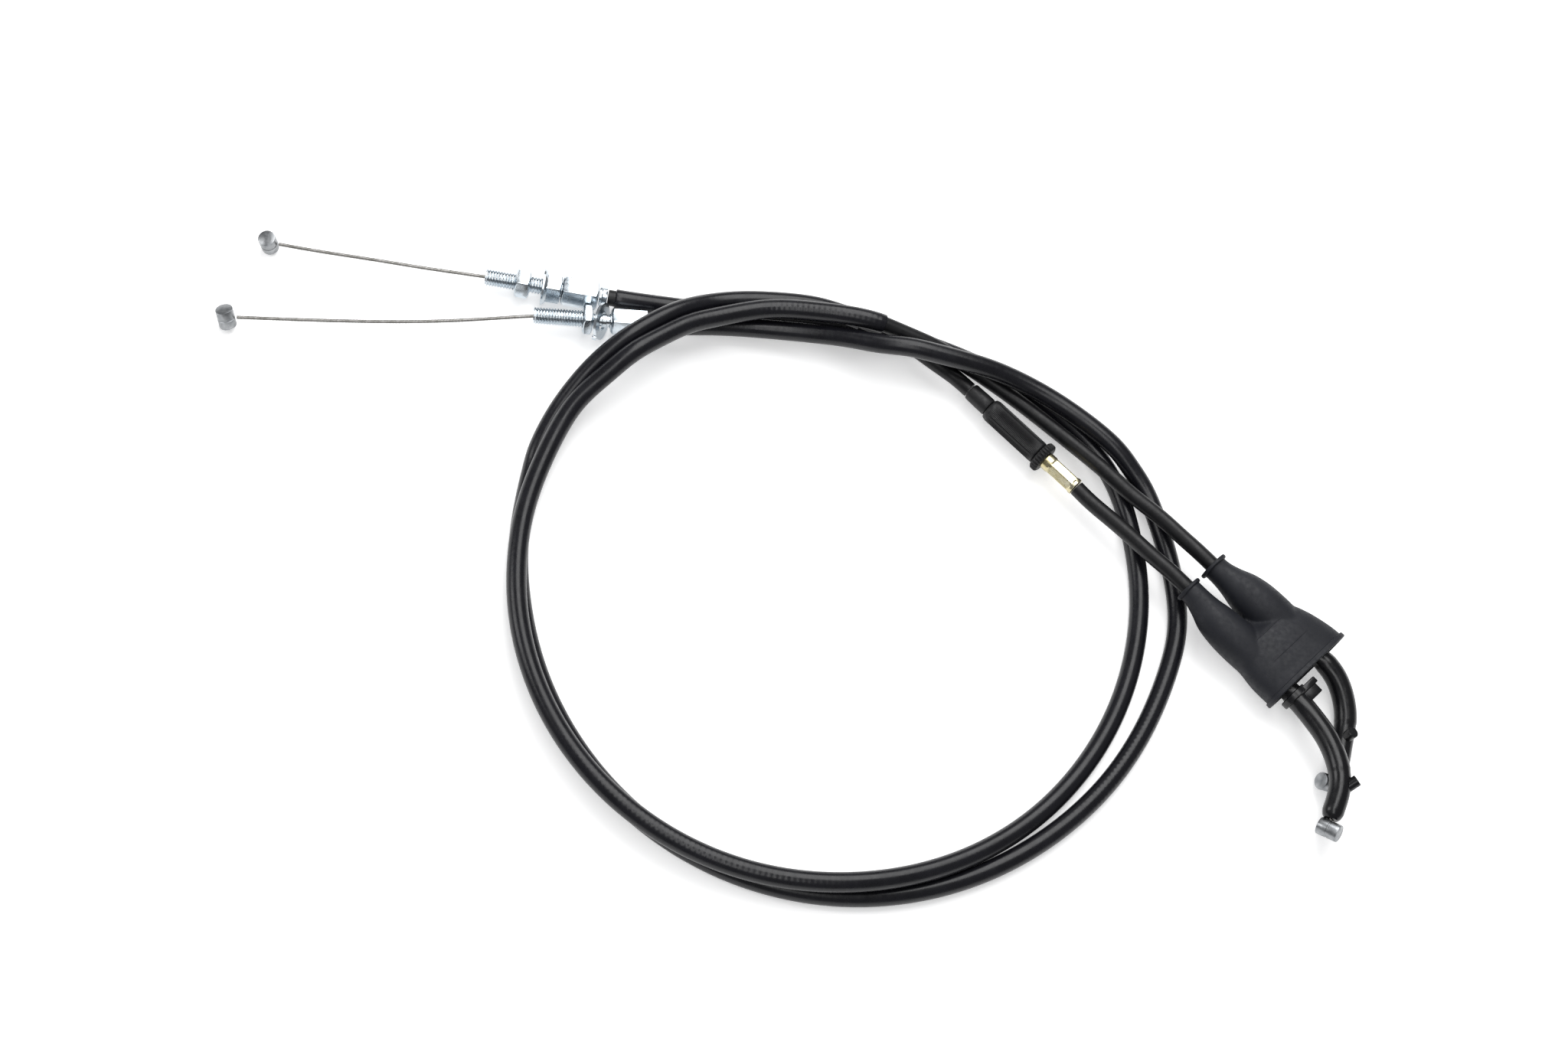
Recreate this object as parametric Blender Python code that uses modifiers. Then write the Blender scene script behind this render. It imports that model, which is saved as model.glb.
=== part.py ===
"""A pair of off-road motorcycle throttle cables, lying loose on a table in one and a half turns.

Cable A pulls the throttle open and cable B closes it. At the carburettor end (-X) each has a barrel
nipple and a hollow threaded adjuster. At the twistgrip end (+X) both run through one twin rubber boot
into bent guide elbows. Cable B also has an inline adjuster between coil and boot.

Units are metres and +Z is up. The table is at z = 0.
"""
import math

import bmesh
import bpy
import numpy as np
from mathutils import Matrix, Vector

GAP = 0.0003                       # space kept between pieces that touch

# ---- cables ------------------------------------------------------------------------------------
SLEEVE_R = 0.0034
CASING_R = 0.0028
WIRE_R = 0.0006
SLEEVE_A_LENGTH = 0.765
BARE_B_LENGTH = 0.046
POINT_SPACING = 0.0125
END_STEP = 0.0010                   # the last stop before each end of a tube

# Each coil turn is a lying oval, run clockwise from one bearing to another (degrees from +X).
TURN_A = {"centre": (0.0150, -0.0145), "half_long": 0.1105, "half_short": 0.1055, "tilt": 48,
          "start": 26, "end": -194, "points": 20, "low": 0.0034, "high": 0.0104,
          "climb": (-36, -92)}
TURN_B = {"centre": (0.0240, -0.0030), "half_long": 0.1235, "half_short": 0.1145, "tilt": 68,
          "start": -42, "end": -192, "points": 14, "low": 0.0034, "high": 0.0034,
          "climb": (-36, -92)}

# Outside the turns the cables follow these points.
CABLE_A_START = [
    (-0.0642, 0.0866, 0.0064), (-0.0570, 0.0860, 0.0061), (-0.0410, 0.0860, 0.0039),
    (-0.0170, 0.0850, 0.0034), (0.0075, 0.0845, 0.0034), (0.0315, 0.0825, 0.0034),
    (0.0545, 0.0770, 0.0034), (0.0770, 0.0675, 0.0034), (0.0970, 0.0540, 0.0034),
]
CABLE_A_END = [
    (-0.0790, 0.0350, 0.0124), (-0.0725, 0.0445, 0.0146), (-0.0650, 0.0515, 0.0175),
    (-0.0565, 0.0590, 0.0200), (-0.0480, 0.0655, 0.0192), (-0.0370, 0.0730, 0.0172),
    (-0.0275, 0.0770, 0.0158), (-0.0100, 0.0820, 0.0150), (0.0060, 0.0820, 0.0164),
    (0.0195, 0.0805, 0.0177), (0.0290, 0.0790, 0.0174), (0.0360, 0.0775, 0.0158),
    (0.0435, 0.0755, 0.0142), (0.0520, 0.0730, 0.0122), (0.0605, 0.0690, 0.0104),
    (0.0705, 0.0640, 0.0079), (0.0830, 0.0560, 0.0064), (0.0960, 0.0455, 0.0066),
    (0.1115, 0.0305, 0.0096), (0.1205, 0.0220, 0.0100), (0.1295, 0.0140, 0.0110),
    (0.1365, 0.0065, 0.0124), (0.1425, 0.0003, 0.0133), (0.1510, -0.0083, 0.0133),
    (0.1544, -0.0113, 0.0131), (0.1589, -0.0147, 0.0127),
]
CABLE_B_START = [
    (-0.0467, 0.0764, 0.0085), (-0.0400, 0.0766, 0.0083), (-0.0265, 0.0780, 0.0074),
    (-0.0085, 0.0780, 0.0078), (0.0070, 0.0765, 0.0099), (0.0200, 0.0740, 0.0132),
    (0.0300, 0.0710, 0.0166), (0.0395, 0.0695, 0.0186), (0.0490, 0.0680, 0.0184),
    (0.0660, 0.0655, 0.0159), (0.0775, 0.0630, 0.0133), (0.0890, 0.0585, 0.0114),
    (0.1015, 0.0510, 0.0106), (0.1150, 0.0405, 0.0092), (0.1215, 0.0335, 0.0066),
    (0.1275, 0.0240, 0.0044), (0.1360, -0.0135, 0.0034), (0.1325, -0.0375, 0.0034),
    (0.1230, -0.0600, 0.0034),
]
CABLE_B_END = [
    (-0.0865, 0.0280, 0.0048), (-0.0815, 0.0395, 0.0068), (-0.0750, 0.0495, 0.0104),
    (-0.0680, 0.0575, 0.0140), (-0.0595, 0.0650, 0.0169), (-0.0500, 0.0725, 0.0168),
    (-0.0395, 0.0795, 0.0148), (-0.0280, 0.0850, 0.0111), (-0.0145, 0.0875, 0.0102),
    (0.0060, 0.0875, 0.0102), (0.0155, 0.0855, 0.0105), (0.0255, 0.0825, 0.0104),
    (0.0325, 0.0800, 0.0099), (0.0385, 0.0770, 0.0092), (0.0450, 0.0740, 0.0078),
    (0.0510, 0.0705, 0.0066), (0.0570, 0.0665, 0.0063), (0.0600, 0.0635, 0.0073),
    (0.0638, 0.0599, 0.0075),
]
CABLE_B_LOWER = [
    (0.1008, 0.0244, 0.0082), (0.1055, 0.0195, 0.0083), (0.1110, 0.0140, 0.0093),
    (0.1180, 0.0070, 0.0106), (0.1250, -0.0005, 0.0119), (0.1305, -0.0060, 0.0129),
    (0.1333, -0.0089, 0.0133), (0.1417, -0.0174, 0.0133), (0.1448, -0.0207, 0.0131),
    (0.1485, -0.0249, 0.0127),
]
WIRE_A_ROUTE = [
    (-0.1786, 0.0990, 0.0046), (-0.1641, 0.0971, 0.0050), (-0.1453, 0.0950, 0.0057),
    (-0.1268, 0.0929, 0.0062), (-0.1071, 0.0912, 0.0064), (-0.1051, 0.0910, 0.0064),
]
WIRE_B_ROUTE = [
    (-0.1909, 0.0696, 0.0047), (-0.1675, 0.0702, 0.0052), (-0.1415, 0.0711, 0.0062),
    (-0.1259, 0.0721, 0.0069), (-0.1076, 0.0740, 0.0077), (-0.0902, 0.0762, 0.0084),
    (-0.0860, 0.0764, 0.0085),
]

# ---- adjusters at the carburettor end: distances run from the threaded tip ---------------------
THREAD_R = 0.0030
NUT_BORE_R = 0.00325
NUT_FLATS = 0.0100
ADJUSTER_BORE_R = 0.0017
ADJUSTER_BORE_DEPTH = 0.0390

ADJUSTER_A_TIP = Vector((-0.1071, 0.0912, 0.0064))
ADJUSTER_A_END = Vector((-0.0645, 0.0866, 0.0064))
A_LOCK_NUT = (0.0105, 0.0157)
A_FLANGE = (0.0199, 0.0215)
A_FLANGE_NUT_END = 0.0266
A_FLANGE_R = 0.0064
A_BARREL = (0.0269, 0.0398)
A_FERRULE = (0.0401, 0.0428)

ADJUSTER_B_TIP = Vector((-0.0900, 0.0764, 0.0085))
ADJUSTER_B_END = Vector((-0.0470, 0.0764, 0.0085))
B_LOCK_NUT = (0.0170, 0.0203)
B_THREAD_END = 0.0205
B_NECK_R = 0.0023
B_BARREL = (0.0269, 0.0397)
B_BARREL_FLATS = 0.0090
B_FERRULE = (0.0400, 0.0430)
WASHER_CENTRE = Vector((-0.0664, 0.0762, 0.0083))
WASHER_NORMAL = Vector((0.904, -0.285, 0.309))
WASHER_R = 0.0066
WASHER_BORE_R = 0.0032
WASHER_THICK = 0.0010

# ---- inline adjuster of cable B: distances run from its cap ------------------------------------
INLINE_START = Vector((0.0640, 0.0597, 0.0075))
INLINE_END = Vector((0.1006, 0.0246, 0.0082))
INLINE_CAP_END = 0.0090
INLINE_BARREL = (0.0093, 0.0330)
INLINE_RING = (0.0333, 0.0363)
INLINE_FERRULE_END = 0.0506
STEM_R = 0.0025
STEM_START = 0.0140

# ---- nipples -----------------------------------------------------------------------------------
NIPPLE_R = 0.0030
NIPPLES = {
    "nipple_a_near": ((-0.1821, 0.0993, 0.0046), (0.22, 0.03, -0.975), 0.0070),
    "nipple_b_near": ((-0.1945, 0.0693, 0.0048), (0.24, -0.44, -0.865), 0.0070),
    "nipple_a_far": ((0.1855, -0.0779, 0.0047), (-0.87, 0.0, 0.50), 0.0076),
    "nipple_b_far": ((0.1824, -0.0966, 0.0110), (0.753, -0.515, 0.41), 0.0076),
}
PULL_A = Vector((-0.55, -0.835, 0.0))          # way the far nipples leave their elbows
PULL_B = Vector((-0.17, -0.978, -0.12))
STUB_IN_ELBOW = 0.0070
STUB_BORE_DEPTH = 0.0080
STUB_BORE_R = 0.0012

# ---- boot frame: origin between the two ports, "along" runs to the mouth, "across" to cable A ---
BOOT_ORIGIN = Vector((0.14215, -0.00860, 0.0))
BOOT_ALONG = Vector((0.700, -0.714, 0.0))
BOOT_ACROSS = Vector((0.714, 0.700, 0.0))
BOOT_WALL = 0.0015
PORT_BORE_R = 0.0032
# stations along a lobe: along, across, height of centre, outer radius
LOBE_A = [
    (-0.0004, 0.0065, 0.0133, 0.0046), (0.0040, 0.0067, 0.0133, 0.0047),
    (0.0080, 0.0072, 0.0131, 0.0054), (0.0130, 0.0080, 0.0126, 0.0068),
    (0.0180, 0.0086, 0.0120, 0.0074), (0.0240, 0.0090, 0.0113, 0.0075),
    (0.0290, 0.0092, 0.0108, 0.0074),
]
LOBE_B = [
    (-0.0004, -0.0065, 0.0133, 0.0045), (0.0040, -0.0067, 0.0133, 0.0046),
    (0.0080, -0.0071, 0.0131, 0.0052), (0.0130, -0.0074, 0.0126, 0.0064),
    (0.0180, -0.0071, 0.0120, 0.0069), (0.0240, -0.0065, 0.0113, 0.0071),
    (0.0290, -0.0060, 0.0108, 0.0071),
]
# stations of the shared body: along, across, height of centre, half width, half height
BOOT_BODY = [
    (0.0200, 0.0012, 0.0113, 0.0095, 0.0040), (0.0240, 0.0016, 0.0110, 0.0125, 0.0060),
    (0.0285, 0.0022, 0.0107, 0.0150, 0.0076), (0.0330, 0.0032, 0.0104, 0.0160, 0.0080),
    (0.0390, 0.0037, 0.0100, 0.0178, 0.0084), (0.0445, 0.0044, 0.0097, 0.0184, 0.0086),
    (0.0480, 0.0046, 0.0096, 0.0185, 0.0087),
]
BOOT_RIM = (0.0466, 0.0482)
BOOT_RIM_LIP = 0.0008
PORT_FLANGE_R = 0.0056
PORT_FLANGE_THICK = 0.0010

# ---- elbows ------------------------------------------------------------------------------------
ELBOW_R = 0.0039                   # outside the boot; thinner inside it
ELBOW_INNER_R = 0.0036
ELBOW_STEP_ALONG = 0.0485
SPIGOT_R = 0.0027
ELBOW_FERRULE_R = 0.0037
ELBOW_FERRULE_BORE_R = 0.0031
SPIGOT_LENGTH = 0.0055
# inside the boot, in its frame: along, across, height
ELBOW_A_INNER = [(0.0230, 0.0088, 0.0121), (0.0300, 0.0096, 0.0112), (0.0390, 0.0107, 0.0103),
                 (0.0479, 0.0120, 0.0095)]
ELBOW_B_INNER = [(0.0230, -0.0070, 0.0121), (0.0300, -0.0067, 0.0116), (0.0406, -0.0062, 0.0111),
                 (0.0538, -0.0063, 0.0107)]
# outside it
ELBOW_A_OUTER = [(0.1904, -0.0421, 0.0080), (0.1929, -0.0530, 0.0062), (0.1923, -0.0590, 0.0053),
                 (0.1911, -0.0645, 0.0048), (0.1900, -0.0692, 0.0047), (0.1886, -0.0732, 0.0047)]
ELBOW_B_OUTER = [(0.1799, -0.0581, 0.0115), (0.1837, -0.0652, 0.0125), (0.1867, -0.0761, 0.0130),
                 (0.1862, -0.0838, 0.0126), (0.1845, -0.0890, 0.0120), (0.1830, -0.0931, 0.0114)]
PEG_R = 0.0020
PEG_A = (Vector((0.1916, -0.0624, 0.0058)), Vector((0.1936, -0.0613, 0.0110)))
PEG_B = (Vector((0.1868, -0.0835, 0.0122)), Vector((0.1921, -0.0802, 0.0156)))
COLLAR_R = 0.0051
COLLAR_THICK = 0.0025
COLLAR_ALONG = 0.0513
KEY_TAB_SIZE = (0.0056, 0.0060, 0.0036)        # along, across, height
KEY_TAB_CENTRE = (0.0536, -0.0016, 0.0125)
KEY_PLATE_SIZE = (0.0023, 0.0080, 0.0046)
KEY_PLATE_CENTRE = (0.0519, -0.0015, 0.0125)


# ---- scene, materials and placing --------------------------------------------------------------

def clear_scene():
    for old in list(bpy.data.objects):
        bpy.data.objects.remove(old, do_unlink=True)


def new_collection(name):
    group = bpy.data.collections.new(name)
    bpy.context.scene.collection.children.link(group)
    return group


def material(name, colour, metallic, roughness):
    made = bpy.data.materials.new(name)
    made.use_nodes = True
    shader = made.node_tree.nodes["Principled BSDF"]
    shader.inputs["Base Color"].default_value = (*colour, 1.0)
    shader.inputs["Metallic"].default_value = metallic
    shader.inputs["Roughness"].default_value = roughness
    return made


def axis_frame(origin, direction, top=Vector((0, 0, 1))):
    """Placement whose local +Z runs along direction and whose local +X leans to top."""
    z = direction.normalized()
    x = (top - z * top.dot(z)).normalized()
    turn = Matrix((x, z.cross(x), z)).transposed()
    return Matrix.Translation(origin) @ turn.to_4x4()


def boot_point(along, across, height):
    return BOOT_ORIGIN + BOOT_ALONG * along + BOOT_ACROSS * across + Vector((0, 0, height))


def add_object(name, mesh, placement, group, look=None):
    made = bpy.data.objects.new(name, mesh)
    group.objects.link(made)
    made.matrix_world = placement
    if look:
        mesh.materials.append(look)
    return made


def as_cutter(obj):
    obj.hide_render = True
    obj.display_type = "WIRE"
    return obj


def boolean(obj, tool, operation):
    cut = obj.modifiers.new(operation.title(), "BOOLEAN")
    cut.operation = operation
    cut.object = tool
    cut.solver = "EXACT"


def shade_round(obj, degrees=35):
    obj.data.shade_smooth()
    obj.data.set_sharp_from_angle(angle=math.radians(degrees))


# ---- shapes ------------------------------------------------------------------------------------

def turned(name, outline, placement, group, look=None, closed=False, steps=20):
    """Revolve (radius, distance) points about local Z; they run down the outer side first."""
    mesh = bpy.data.meshes.new(name)
    count = len(outline)
    edges = [(i, i + 1) for i in range(count - 1)]
    if closed:
        edges.append((count - 1, 0))
    mesh.from_pydata([(r, 0.0, z) for r, z in outline], edges, [])
    obj = add_object(name, mesh, placement, group, look)
    screw = obj.modifiers.new("Turn", "SCREW")
    screw.axis = "Z"
    screw.angle = math.tau
    screw.steps = steps
    screw.render_steps = steps
    screw.use_merge_vertices = True
    screw.merge_threshold = 0.00001
    screw.use_smooth_shade = True
    return obj


def rod_outline(radius, start, end, chamfer=0.0):
    return [(0, end), (radius - chamfer, end), (radius, end - chamfer),
            (radius, start + chamfer), (radius - chamfer, start), (0, start)]


def ring_outline(outer, inner, start, end, chamfer=0.0003):
    return [(inner, end), (outer - chamfer, end), (outer, end - chamfer),
            (outer, start + chamfer), (outer - chamfer, start), (inner, start)]


def prism(name, flats, start, end, placement, group, look=None, sides=6, turn=0.0):
    """A bar with flat sides about local Z, from start to end."""
    mesh = bpy.data.meshes.new(name)
    shape = bmesh.new()
    radius = flats / 2 / math.cos(math.pi / sides)
    lift = Matrix.Translation((0, 0, (start + end) / 2)) @ Matrix.Rotation(turn, 4, "Z")
    bmesh.ops.create_cone(shape, cap_ends=True, segments=sides, radius1=radius, radius2=radius,
                          depth=end - start, matrix=lift)
    shape.to_mesh(mesh)
    shape.free()
    return add_object(name, mesh, placement, group, look)


def block(name, size, placement, group):
    mesh = bpy.data.meshes.new(name)
    shape = bmesh.new()
    bmesh.ops.create_cube(shape, size=1.0, matrix=Matrix.Diagonal((*size, 1.0)))
    shape.to_mesh(mesh)
    shape.free()
    return add_object(name, mesh, placement, group)


def hex_piece(name, flats, start, end, placement, group, cutters, look, chamfer=0.0006, turn=0.0):
    """A hexagonal bar whose corners are turned back at both ends."""
    obj = prism(name, flats, start, end, placement, group, look, turn=turn)
    corner = flats / 2 / math.cos(math.pi / 6) + 0.0001
    ends = turned(name + "_ends", rod_outline(corner, start - 0.0001, end + 0.0001, chamfer * 1.6),
                  placement, cutters, steps=24)
    boolean(obj, as_cutter(ends), "INTERSECT")
    return obj


def smooth_curve(points):
    """Natural cubic spline through the points, finely divided."""
    knots = np.asarray(points, float)
    chords = np.linalg.norm(np.diff(knots, axis=0), axis=1) ** 0.5
    count = len(knots)
    system = np.zeros((count, count))
    right = np.zeros((count, 3))
    system[0, 0] = system[-1, -1] = 1.0
    for i in range(1, count - 1):
        before, after = chords[i - 1], chords[i]
        system[i, i - 1] = before
        system[i, i] = 2 * (before + after)
        system[i, i + 1] = after
        right[i] = 6 * ((knots[i + 1] - knots[i]) / after - (knots[i] - knots[i - 1]) / before)
    bends = np.linalg.solve(system, right)
    fine = []
    for i in range(count - 1):
        h = chords[i]
        for u in np.linspace(0, h, 24, endpoint=False):
            a = (h - u) / h
            b = u / h
            sag = ((a ** 3 - a) * bends[i] + (b ** 3 - b) * bends[i + 1]) * h * h / 6
            fine.append(a * knots[i] + b * knots[i + 1] + sag)
    fine.append(knots[-1])
    return np.array(fine)


def distances(curve):
    """How far along the curve each of its points is."""
    return np.concatenate([[0], np.cumsum(np.linalg.norm(np.diff(curve, axis=0), axis=1))])


def stops_along(curve, spacing, floor, start=0.0, end=None):
    """Points at even steps from start to end, with one close to each end so that it ends square."""
    run = distances(curve)
    end = run[-1] if end is None else end
    steps = max(2, round((end - start) / spacing))
    stops = np.linspace(start, end, steps + 1)
    stops = np.insert(stops, 1, start + END_STEP)
    stops = np.insert(stops, -1, end - END_STEP)
    read = np.stack([np.interp(stops, run, curve[:, k]) for k in range(3)], axis=1)
    read[:, 2] = np.maximum(read[:, 2], floor)
    return read


def oval_turn(centre, half_long, half_short, tilt, start, end, points, low, high, climb):
    """Points round a lying oval, climbing smoothly from low to high between two bearings."""
    made = []
    for bearing in np.linspace(start, end, points):
        angle = math.radians(bearing)
        lean = angle - math.radians(tilt)
        reach = 1 / math.hypot(math.cos(lean) / half_long, math.sin(lean) / half_short)
        part = min(max((bearing - climb[0]) / (climb[1] - climb[0]), 0.0), 1.0)
        height = low + (high - low) * part * part * (3 - 2 * part)
        made.append((centre[0] + reach * math.cos(angle), centre[1] + reach * math.sin(angle),
                     height))
    return made


def tube(name, points, radius, group, look=None, resolution=2, radii=None):
    """A round bar along the points, in world coordinates, with filled ends."""
    curve = bpy.data.curves.new(name, "CURVE")
    curve.dimensions = "3D"
    curve.bevel_depth = radius
    curve.bevel_resolution = resolution
    curve.use_fill_caps = True
    spline = curve.splines.new("POLY")
    spline.points.add(len(points) - 1)
    for i, place in enumerate(points):
        spline.points[i].co = (*place, 1.0)
        spline.points[i].radius = radii[i] / radius if radii else 1.0
    obj = bpy.data.objects.new(name, curve)
    group.objects.link(obj)
    if look:
        curve.materials.append(look)
    return obj


def tube_mesh(name, points, radius, group, look=None, resolution=3, radii=None):
    """The same bar as a welded mesh, which can be cut and joined."""
    guide = tube(name + "_guide", points, radius, group, resolution=resolution, radii=radii)
    bpy.context.view_layer.update()
    evaluated = guide.evaluated_get(bpy.context.evaluated_depsgraph_get())
    mesh = bpy.data.meshes.new_from_object(evaluated)
    placement = guide.matrix_world.copy()
    bpy.data.objects.remove(guide, do_unlink=True)
    shape = bmesh.new()
    shape.from_mesh(mesh)
    bmesh.ops.remove_doubles(shape, verts=shape.verts, dist=0.00001)
    bmesh.ops.recalc_face_normals(shape, faces=shape.faces)
    shape.to_mesh(mesh)
    shape.free()
    mesh.name = name
    return add_object(name, mesh, placement, group, look)


def oval_loft(name, stations, group, look=None, count=28):
    """Loft of flattened ovals: (along, across, height, half width, half height) stations."""
    mesh = bpy.data.meshes.new(name)
    shape = bmesh.new()
    rings = []
    for along, across, height, half_wide, half_high in stations:
        ring = []
        for i in range(count):
            angle = math.tau * i / count
            side = math.copysign(abs(math.cos(angle)) ** 0.85, math.cos(angle))
            rise = math.copysign(abs(math.sin(angle)) ** 0.85, math.sin(angle))
            place = boot_point(along, across + half_wide * side, height + half_high * rise)
            ring.append(shape.verts.new(place))
        rings.append(ring)
    for low, high in zip(rings, rings[1:]):
        for i in range(count):
            j = (i + 1) % count
            shape.faces.new((low[i], low[j], high[j], high[i]))
    shape.faces.new(rings[0])
    shape.faces.new(rings[-1])
    bmesh.ops.recalc_face_normals(shape, faces=shape.faces)
    shape.to_mesh(mesh)
    shape.free()
    return add_object(name, mesh, Matrix.Identity(4), group, look)


# ---- pieces ------------------------------------------------------------------------------------

def make_adjuster_a(parts, cutters, zinc):
    placement = axis_frame(ADJUSTER_A_TIP, ADJUSTER_A_END - ADJUSTER_A_TIP)
    body = hex_piece("adjuster_a_body", NUT_FLATS, *A_BARREL, placement, parts, cutters, zinc,
                     turn=math.radians(2))
    thread = turned("thread_a", rod_outline(THREAD_R, 0, A_BARREL[0] + 0.001, 0.0004), placement,
                    cutters)
    bore = turned("bore_a", rod_outline(ADJUSTER_BORE_R, -0.001, ADJUSTER_BORE_DEPTH), placement,
                  cutters, steps=16)
    boolean(body, as_cutter(thread), "UNION")
    boolean(body, as_cutter(bore), "DIFFERENCE")

    nut = hex_piece("adjuster_a_lock_nut", NUT_FLATS, *A_LOCK_NUT, placement, parts, cutters, zinc)
    nut_bore = turned("nut_bore_a", rod_outline(NUT_BORE_R, -0.001, 0.03), placement, cutters)
    boolean(nut, as_cutter(nut_bore), "DIFFERENCE")

    flange_nut = hex_piece("adjuster_a_flange_nut", NUT_FLATS, A_FLANGE[1] - 0.0004,
                           A_FLANGE_NUT_END, placement, parts, cutters, zinc)
    flange = turned("flange_a", rod_outline(A_FLANGE_R, *A_FLANGE, 0.0003), placement, cutters,
                    steps=32)
    boolean(flange_nut, as_cutter(flange), "UNION")
    boolean(flange_nut, nut_bore, "DIFFERENCE")

    turned("casing_a_end_ferrule", rod_outline(0.0034, *A_FERRULE, 0.0003), placement, parts, zinc)


def make_adjuster_b(parts, cutters, zinc):
    placement = axis_frame(ADJUSTER_B_TIP, ADJUSTER_B_END - ADJUSTER_B_TIP)
    body = hex_piece("adjuster_b_body", B_BARREL_FLATS, *B_BARREL, placement, parts, cutters, zinc)
    shank_outline = [(0, B_BARREL[0] + 0.001), (B_NECK_R, B_BARREL[0] + 0.001),
                     (B_NECK_R, B_THREAD_END + 0.0006), (THREAD_R, B_THREAD_END),
                     (THREAD_R, 0.0004), (THREAD_R - 0.0004, 0), (0, 0)]
    shank = turned("shank_b", shank_outline, placement, cutters)
    bore = turned("bore_b", rod_outline(ADJUSTER_BORE_R, -0.001, ADJUSTER_BORE_DEPTH), placement,
                  cutters, steps=16)
    boolean(body, as_cutter(shank), "UNION")
    boolean(body, as_cutter(bore), "DIFFERENCE")

    nut = hex_piece("adjuster_b_lock_nut", NUT_FLATS, *B_LOCK_NUT, placement, parts, cutters, zinc)
    nut_bore = turned("nut_bore_b", rod_outline(NUT_BORE_R, -0.001, 0.03), placement, cutters)
    boolean(nut, as_cutter(nut_bore), "DIFFERENCE")
    turned("casing_b_end_ferrule", rod_outline(0.0034, *B_FERRULE, 0.0003), placement, parts, zinc)


def make_tab_washer(parts, cutters, zinc):
    """A loose washer leaning on the neck, with a tab bent back over the lock nut."""
    placement = axis_frame(WASHER_CENTRE, WASHER_NORMAL)
    half = WASHER_THICK / 2
    washer = turned("adjuster_b_tab_washer", ring_outline(WASHER_R, WASHER_BORE_R, -half, half, 0.0001),
                    placement, parts, zinc, closed=True, steps=32)
    tab_size = (0.0016, 0.0009, 0.0022)
    outward = Vector((0, -1, 0))
    lie = (outward - WASHER_NORMAL.normalized() * outward.dot(WASHER_NORMAL.normalized())).normalized()
    centre = WASHER_CENTRE + lie * (WASHER_R + 0.0001) - WASHER_NORMAL.normalized() * 0.0006
    tab = block("tab_b", tab_size, axis_frame(centre, Vector((0, 0, 1)), WASHER_NORMAL), cutters)
    boolean(washer, as_cutter(tab), "UNION")


def make_inline_adjuster(parts, plastic, gold):
    placement = axis_frame(INLINE_START, INLINE_END - INLINE_START)
    start, end = INLINE_BARREL
    cap = [(0, 0.0124), (0.0021, 0.0124), (0.0021, INLINE_CAP_END), (0.0033, INLINE_CAP_END),
           (0.0033, 0.0010), (0.0030, 0.0003), (0, 0.0003)]
    turned("inline_end_cap", cap, placement, parts, plastic)
    barrel = [(0.00275, end), (0.0039, end), (0.00425, end - 0.0006), (0.00425, start + 0.0010),
              (0.0037, start), (0.0025, start), (0.0025, start + 0.0040), (0.00275, start + 0.0045)]
    turned("inline_barrel", barrel, placement, parts, plastic, closed=True, steps=24)
    turned("inline_lock_ring", ring_outline(0.00565, 0.00275, *INLINE_RING), placement, parts,
           plastic, closed=True, steps=24)
    ferrule = [(0, INLINE_FERRULE_END), (0.0029, INLINE_FERRULE_END),
               (0.00315, INLINE_FERRULE_END - 0.0003), (0.00315, INLINE_RING[1] + GAP),
               (STEM_R, INLINE_RING[1] + GAP), (STEM_R, STEM_START + 0.0004),
               (STEM_R - 0.0004, STEM_START), (0, STEM_START)]
    turned("inline_threaded_ferrule", ferrule, placement, parts, gold)


def make_nipples(parts, lead):
    for name, (centre, axis, length) in NIPPLES.items():
        half = length / 2
        turned(name, rod_outline(NIPPLE_R, -half, half, 0.0002),
               axis_frame(Vector(centre), Vector(axis), Vector((0.3, 0.9, 0.3))), parts, lead)


def make_cables(parts, vinyl, black, steel):
    curve_a = smooth_curve(CABLE_A_START + oval_turn(**TURN_A) + CABLE_A_END)
    tube("casing_a_sleeved", stops_along(curve_a, POINT_SPACING, SLEEVE_R, 0, SLEEVE_A_LENGTH),
         SLEEVE_R, parts, vinyl)
    tube("casing_a_bare", stops_along(curve_a, POINT_SPACING, CASING_R, SLEEVE_A_LENGTH + GAP),
         CASING_R, parts, black)

    curve_b = smooth_curve(CABLE_B_START + oval_turn(**TURN_B) + CABLE_B_END)
    split = distances(curve_b)[-1] - BARE_B_LENGTH
    tube("casing_b_sleeved", stops_along(curve_b, POINT_SPACING, SLEEVE_R, 0, split), SLEEVE_R,
         parts, vinyl)
    tube("casing_b_bare_upper", stops_along(curve_b, POINT_SPACING, CASING_R, split + GAP),
         CASING_R, parts, black)
    tube("casing_b_bare_lower", stops_along(smooth_curve(CABLE_B_LOWER), 0.008, CASING_R),
         CASING_R, parts, black)

    for name, route in (("wire_a_near", WIRE_A_ROUTE), ("wire_b_near", WIRE_B_ROUTE)):
        tube(name, stops_along(smooth_curve(route), 0.008, WIRE_R), WIRE_R, parts, steel)
    for name, elbow, pull, nipple in (("wire_a_far", ELBOW_A_OUTER, PULL_A, "nipple_a_far"),
                                      ("wire_b_far", ELBOW_B_OUTER, PULL_B, "nipple_b_far")):
        pull = pull.normalized()
        centre = Vector(NIPPLES[nipple][0])
        lean = Vector(NIPPLES[nipple][1]).normalized()
        leave = NIPPLE_R / math.sqrt(1 - lean.dot(pull) ** 2) + GAP + 0.0002
        reach = (centre - Vector(elbow[-1])).dot(pull) + STUB_IN_ELBOW
        first = centre - pull * leave
        last = centre - pull * reach
        tube(name, [first, first.lerp(last, 0.5), last], WIRE_R, parts, steel)


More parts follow.
